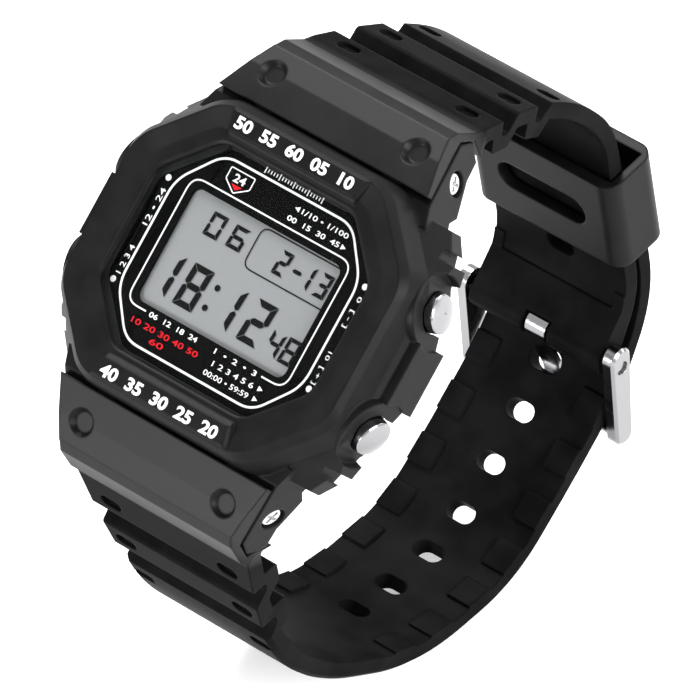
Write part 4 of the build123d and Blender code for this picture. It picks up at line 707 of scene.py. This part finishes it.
class WATCH_OT_dial(bpy.types.Operator):
    """Print the dial and the bezel's bars"""
    bl_idname = "watch.dial"
    bl_label = "Dial print"

    def execute(self, context):
        dial = context.scene.watch_dial
        white = printed("white_print", tuple(dial.ink_colour))
        red = printed("red_print", tuple(dial.accent_colour))
        face, shader, tree = material("dial_face", tuple(dial.face_colour), 0.3)
        shader.inputs["Specular IOR Level"].default_value = FACE_SHEEN
        places = object_places(tree)
        specks = noise(tree, places, 3000, 2.0)
        tree.links.new(span(tree, specks, 0.25, 0.4), shader.inputs["Roughness"])
        dress(face, "face_plate")
        lines = stroke(rounded_line(frame_corners(), FRAME_ROUND), dial.frame_line)
        settle(ink("frame_line", lines, PRINT_LIFT), white)
        lines = stroke(window_frame(), dial.window_line, closed=False)
        settle(ink("window_line", lines, PRINT_LIFT), white)
        dots = [disc(place, DOT_RADIUS) for place in DOTS]
        settle(ink("dial_marks", dots + ARROWS, PRINT_LIFT), white)
        lines = stroke(rounded_line(BADGE, BADGE_ROUND), BADGE_LINE)
        settle(ink("badge_outline", lines, PRINT_LIFT), white)
        settle(ink("badge_mark", [BADGE_MARK], PRINT_LIFT), red)
        small = joined("dial_numerals", [numerals(*words) for words in DIAL_NUMERALS])
        settle(small, white)
        settle(joined("red_numerals", [numerals(*words) for words in RED_NUMERALS]), red)
        settle(tick_scale(dial, white), white)
        raised = [numerals(*words, low=BAR_TOP) for words in BAR_NUMERALS]
        settle(joined("bar_numerals", raised), white)
        return {"FINISHED"}


# Lit segments of each digit: a top, b upper right, c lower right, d foot, e lower left, f upper left,
# g middle.
LIT = {
    "0": "abcdef", "1": "bc", "2": "abged", "3": "abgcd", "4": "fgbc", "5": "afgcd",
    "6": "afgecd", "7": "abc", "8": "abcdefg", "9": "abfgcd", "-": "g"}

# Digits of the display: sign, left, foot, width, height, and its line's share of a large digit's line.
LARGE_SHARE = 1.0
SMALL_SHARE = 0.6
DIGITS = [
    ("1", -10.35, -5.28, 2.75, 4.95, LARGE_SHARE),
    ("8", -6.45, -5.28, 2.75, 4.95, LARGE_SHARE),
    ("1", -1.55, -5.28, 2.75, 4.95, LARGE_SHARE),
    ("2", 2.65, -5.28, 2.75, 4.95, LARGE_SHARE),
    ("4", 6.35, -5.25, 1.75, 2.85, SMALL_SHARE),
    ("8", 8.45, -5.25, 1.85, 2.95, SMALL_SHARE),
    ("0", -7.25, 2.68, 2.0, 2.75, SMALL_SHARE),
    ("6", -4.05, 2.75, 2.0, 2.6, SMALL_SHARE),
    ("2", 2.55, 2.62, 1.55, 2.78, SMALL_SHARE),
    ("-", 4.55, 2.55, 1.75, 2.78, SMALL_SHARE),
    ("1", 5.9, 2.62, 1.6, 2.78, SMALL_SHARE),
    ("3", 8.25, 2.64, 1.6, 2.75, SMALL_SHARE),
]
COLON = [(-2.24, -1.62), (-2.46, -4.08)]
DATE_BOX = [(10.4, 6.5), (-0.87, 6.5), (-0.87, 1.72), (10.4, 1.72)]
DATE_ROUND = 1.1
DATE_LINE = 0.14
SLANT_SHARE = 0.06
GAP_SHARE = 0.06
NOTCH_SHARE = 0.6


def digit(sign, left, foot, wide, tall, width):
    """Polygons of one seven-segment digit, with mitred ends and a hair's gap between them."""
    gap = width * GAP_SHARE
    half = width / 2
    mid = tall / 2
    inner = wide - width
    notch = half * NOTCH_SHARE + gap
    shoulder = half + gap
    shapes = {
        "a": [(gap, tall), (wide - gap, tall), (inner - gap, tall - width), (width + gap, tall - width)],
        "d": [(gap, 0), (width + gap, width), (inner - gap, width), (wide - gap, 0)],
        "f": [(0, tall - gap), (width, tall - width - gap), (width, mid + shoulder), (half, mid + gap),
              (0, mid + notch)],
        "b": [(wide, tall - gap), (wide, mid + notch), (wide - half, mid + gap), (inner, mid + shoulder),
              (inner, tall - width - gap)],
        "e": [(0, gap), (0, mid - notch), (half, mid - gap), (width, mid - shoulder), (width, width + gap)],
        "c": [(wide, gap), (inner, width + gap), (inner, mid - shoulder), (wide - half, mid - gap),
              (wide, mid - notch)],
        "g": [(shoulder, mid), (width + gap, mid + half), (inner - gap, mid + half), (wide - shoulder, mid),
              (inner - gap, mid - half), (width + gap, mid - half)],
    }
    return [
        [Vector((left + x + SLANT_SHARE * y, foot + y)) for x, y in shapes[name]]
        for name in LIT[sign]]


def display_shapes(width):
    """Every dark shape that the display shows, for the width of a large digit's line."""
    shapes = []
    for sign, left, foot, wide, tall, share in DIGITS:
        shapes += digit(sign, left, foot, wide, tall, width * share)
    shapes += [disc(place, DOT_RADIUS) for place in COLON]
    shapes += stroke(rounded_line(DATE_BOX, DATE_ROUND, closed=False), DATE_LINE, closed=False)
    return shapes


class WATCH_OT_display(bpy.types.Operator):
    """Fill the display with its dark digits and their painted shadow"""
    bl_idname = "watch.display"
    bl_label = "Display"

    def execute(self, context):
        display = context.scene.watch_display
        ground, shader, tree = material("display_ground", tuple(display.ground_colour), 0.35)
        shader.inputs["Specular IOR Level"].default_value = PRINT_SHEEN
        places = object_places(tree)
        grain = noise(tree, places, 9000, 2.0)
        colour = tuple(display.ground_colour)
        dark = tuple(c * 0.96 for c in colour)
        tree.links.new(ramp(tree, grain, 0.3, 0.7, dark, colour), shader.inputs["Base Color"])
        dress(ground, "display_glass")
        segments = printed("display_segments", tuple(display.segment_colour), 0.4)
        # Painted shadow of the digits: a grey print in the display's ground colour, darkened.
        painted_shadow_finish = printed("segment_painted_shadow", tuple(c * 0.62 for c in colour), 0.4)
        shapes = display_shapes(display.segment_width)
        settle(ink("display_digits", shapes, DISPLAY_TOP + DIGIT_LIFT), segments)
        # Painted shadow: every dark shape copied, shifted sideways and laid just under the digits.
        shade = [[point + PAINTED_SHADOW_SHIFT for point in shape] for shape in shapes]
        settle(ink("digit_painted_shadow", shade, DISPLAY_TOP + PAINTED_SHADOW_LIFT), painted_shadow_finish)
        return {"FINISHED"}


class WATCH_OT_stage(bpy.types.Operator):
    """Make the floor, the lights and the camera"""
    bl_idname = "watch.stage"
    bl_label = "Stage"

    def execute(self, context):
        stage = context.scene.watch_stage
        low, high = CAD_BOX
        make_floor(low.z, tuple(stage.floor_colour))
        make_world()
        make_lights()
        make_camera(stage)
        return {"FINISHED"}


def make_floor(level, colour):
    """Wide pale floor that the camera sees as white where nothing shades it."""
    mesh = bpy.data.meshes.new("floor")
    signs = ((-1, -1), (1, -1), (1, 1), (-1, 1))
    mesh.from_pydata([(x * FLOOR_REACH, y * FLOOR_REACH, level) for x, y in signs], [], [(0, 1, 2, 3)])
    floor = link("floor", mesh)
    finish, shader, tree = material("floor_paper", colour, 0.9)
    glow = combine(tree, "MULTIPLY", seen_directly(tree), FLOOR_GLOW)
    shader.inputs["Emission Color"].default_value = (1, 1, 1, 1)
    tree.links.new(glow, shader.inputs["Emission Strength"])
    shader.inputs["Specular IOR Level"].default_value = 0
    mesh.materials.append(finish)
    return floor


def make_world():
    """Plain pale surroundings, white where the camera or a reflection sees them."""
    world = bpy.data.worlds.new("studio")
    bpy.context.scene.world = world
    world.use_nodes = True
    tree = world.node_tree
    ground = tree.nodes["Background"]
    ground.inputs["Color"].default_value = (1, 1, 1, 1)
    strength = span(tree, seen_directly(tree), WORLD_LIGHT, WHITE)
    tree.links.new(strength, ground.inputs["Strength"])


def lamp(name, place, aim, size, power):
    """Square soft lamp that looks at a point."""
    light = bpy.data.lights.new(name, "AREA")
    light.shape = "SQUARE"
    light.size = size
    light.energy = power
    holder = bpy.data.objects.new(name, light)
    holder.location = place
    way = Vector(aim) - Vector(place)
    holder.rotation_euler = way.to_track_quat("-Z", "Y").to_euler()
    bpy.context.scene.collection.objects.link(holder)


def make_lights():
    """Soft lamps: right, high at the left, low in front, and a weak one behind."""
    for name, place, aim, size, power in LAMPS:
        lamp(name, place, aim, size, power)


def make_camera(stage):
    """Camera at the photograph's angle."""
    data = bpy.data.cameras.new("camera")
    data.lens = stage.lens
    data.sensor_width = SENSOR_WIDTH
    data.clip_start = CLIP_NEAR
    data.clip_end = CLIP_FAR
    camera = bpy.data.objects.new("camera", data)
    camera.location = CAMERA_AIM + CAMERA_WAY * stage.distance
    camera.rotation_euler = (-CAMERA_WAY).to_track_quat("-Z", "Y").to_euler()
    bpy.context.scene.collection.objects.link(camera)
    bpy.context.scene.camera = camera
    bpy.context.scene.view_settings.view_transform = "Standard"


class WATCH_PT_panel(bpy.types.Panel):
    """Lists the watch's pieces and settings"""
    bl_idname = "WATCH_PT_panel"
    bl_label = "Watch"
    bl_space_type = "VIEW_3D"
    bl_region_type = "UI"
    bl_category = "Watch"

    def draw(self, context):
        scene = context.scene
        for group_name, kind in GROUPS:
            for name in kind.__annotations__:
                self.layout.prop(getattr(scene, group_name), name)
        for operator in OPERATORS:
            self.layout.operator(operator.bl_idname)


GROUPS = (
    ("watch_resin", ResinSettings), ("watch_metal", MetalSettings), ("watch_dial", DialSettings),
    ("watch_display", DisplaySettings), ("watch_stage", StageSettings))
OPERATORS = (WATCH_OT_case, WATCH_OT_strap, WATCH_OT_dial, WATCH_OT_display, WATCH_OT_stage)


def register():
    for name, group in GROUPS:
        bpy.utils.register_class(group)
        setattr(bpy.types.Scene, name, PointerProperty(type=group))
    for kind in (*OPERATORS, WATCH_PT_panel):
        bpy.utils.register_class(kind)


def unregister():
    for kind in reversed((*OPERATORS, WATCH_PT_panel)):
        bpy.utils.unregister_class(kind)
    for name, group in reversed(GROUPS):
        delattr(bpy.types.Scene, name)
        bpy.utils.unregister_class(group)


def main():
    register()
    bpy.ops.watch.case()
    bpy.ops.watch.strap()
    bpy.ops.watch.dial()
    bpy.ops.watch.display()
    bpy.ops.watch.stage()


if __name__ == "__main__":
    main()
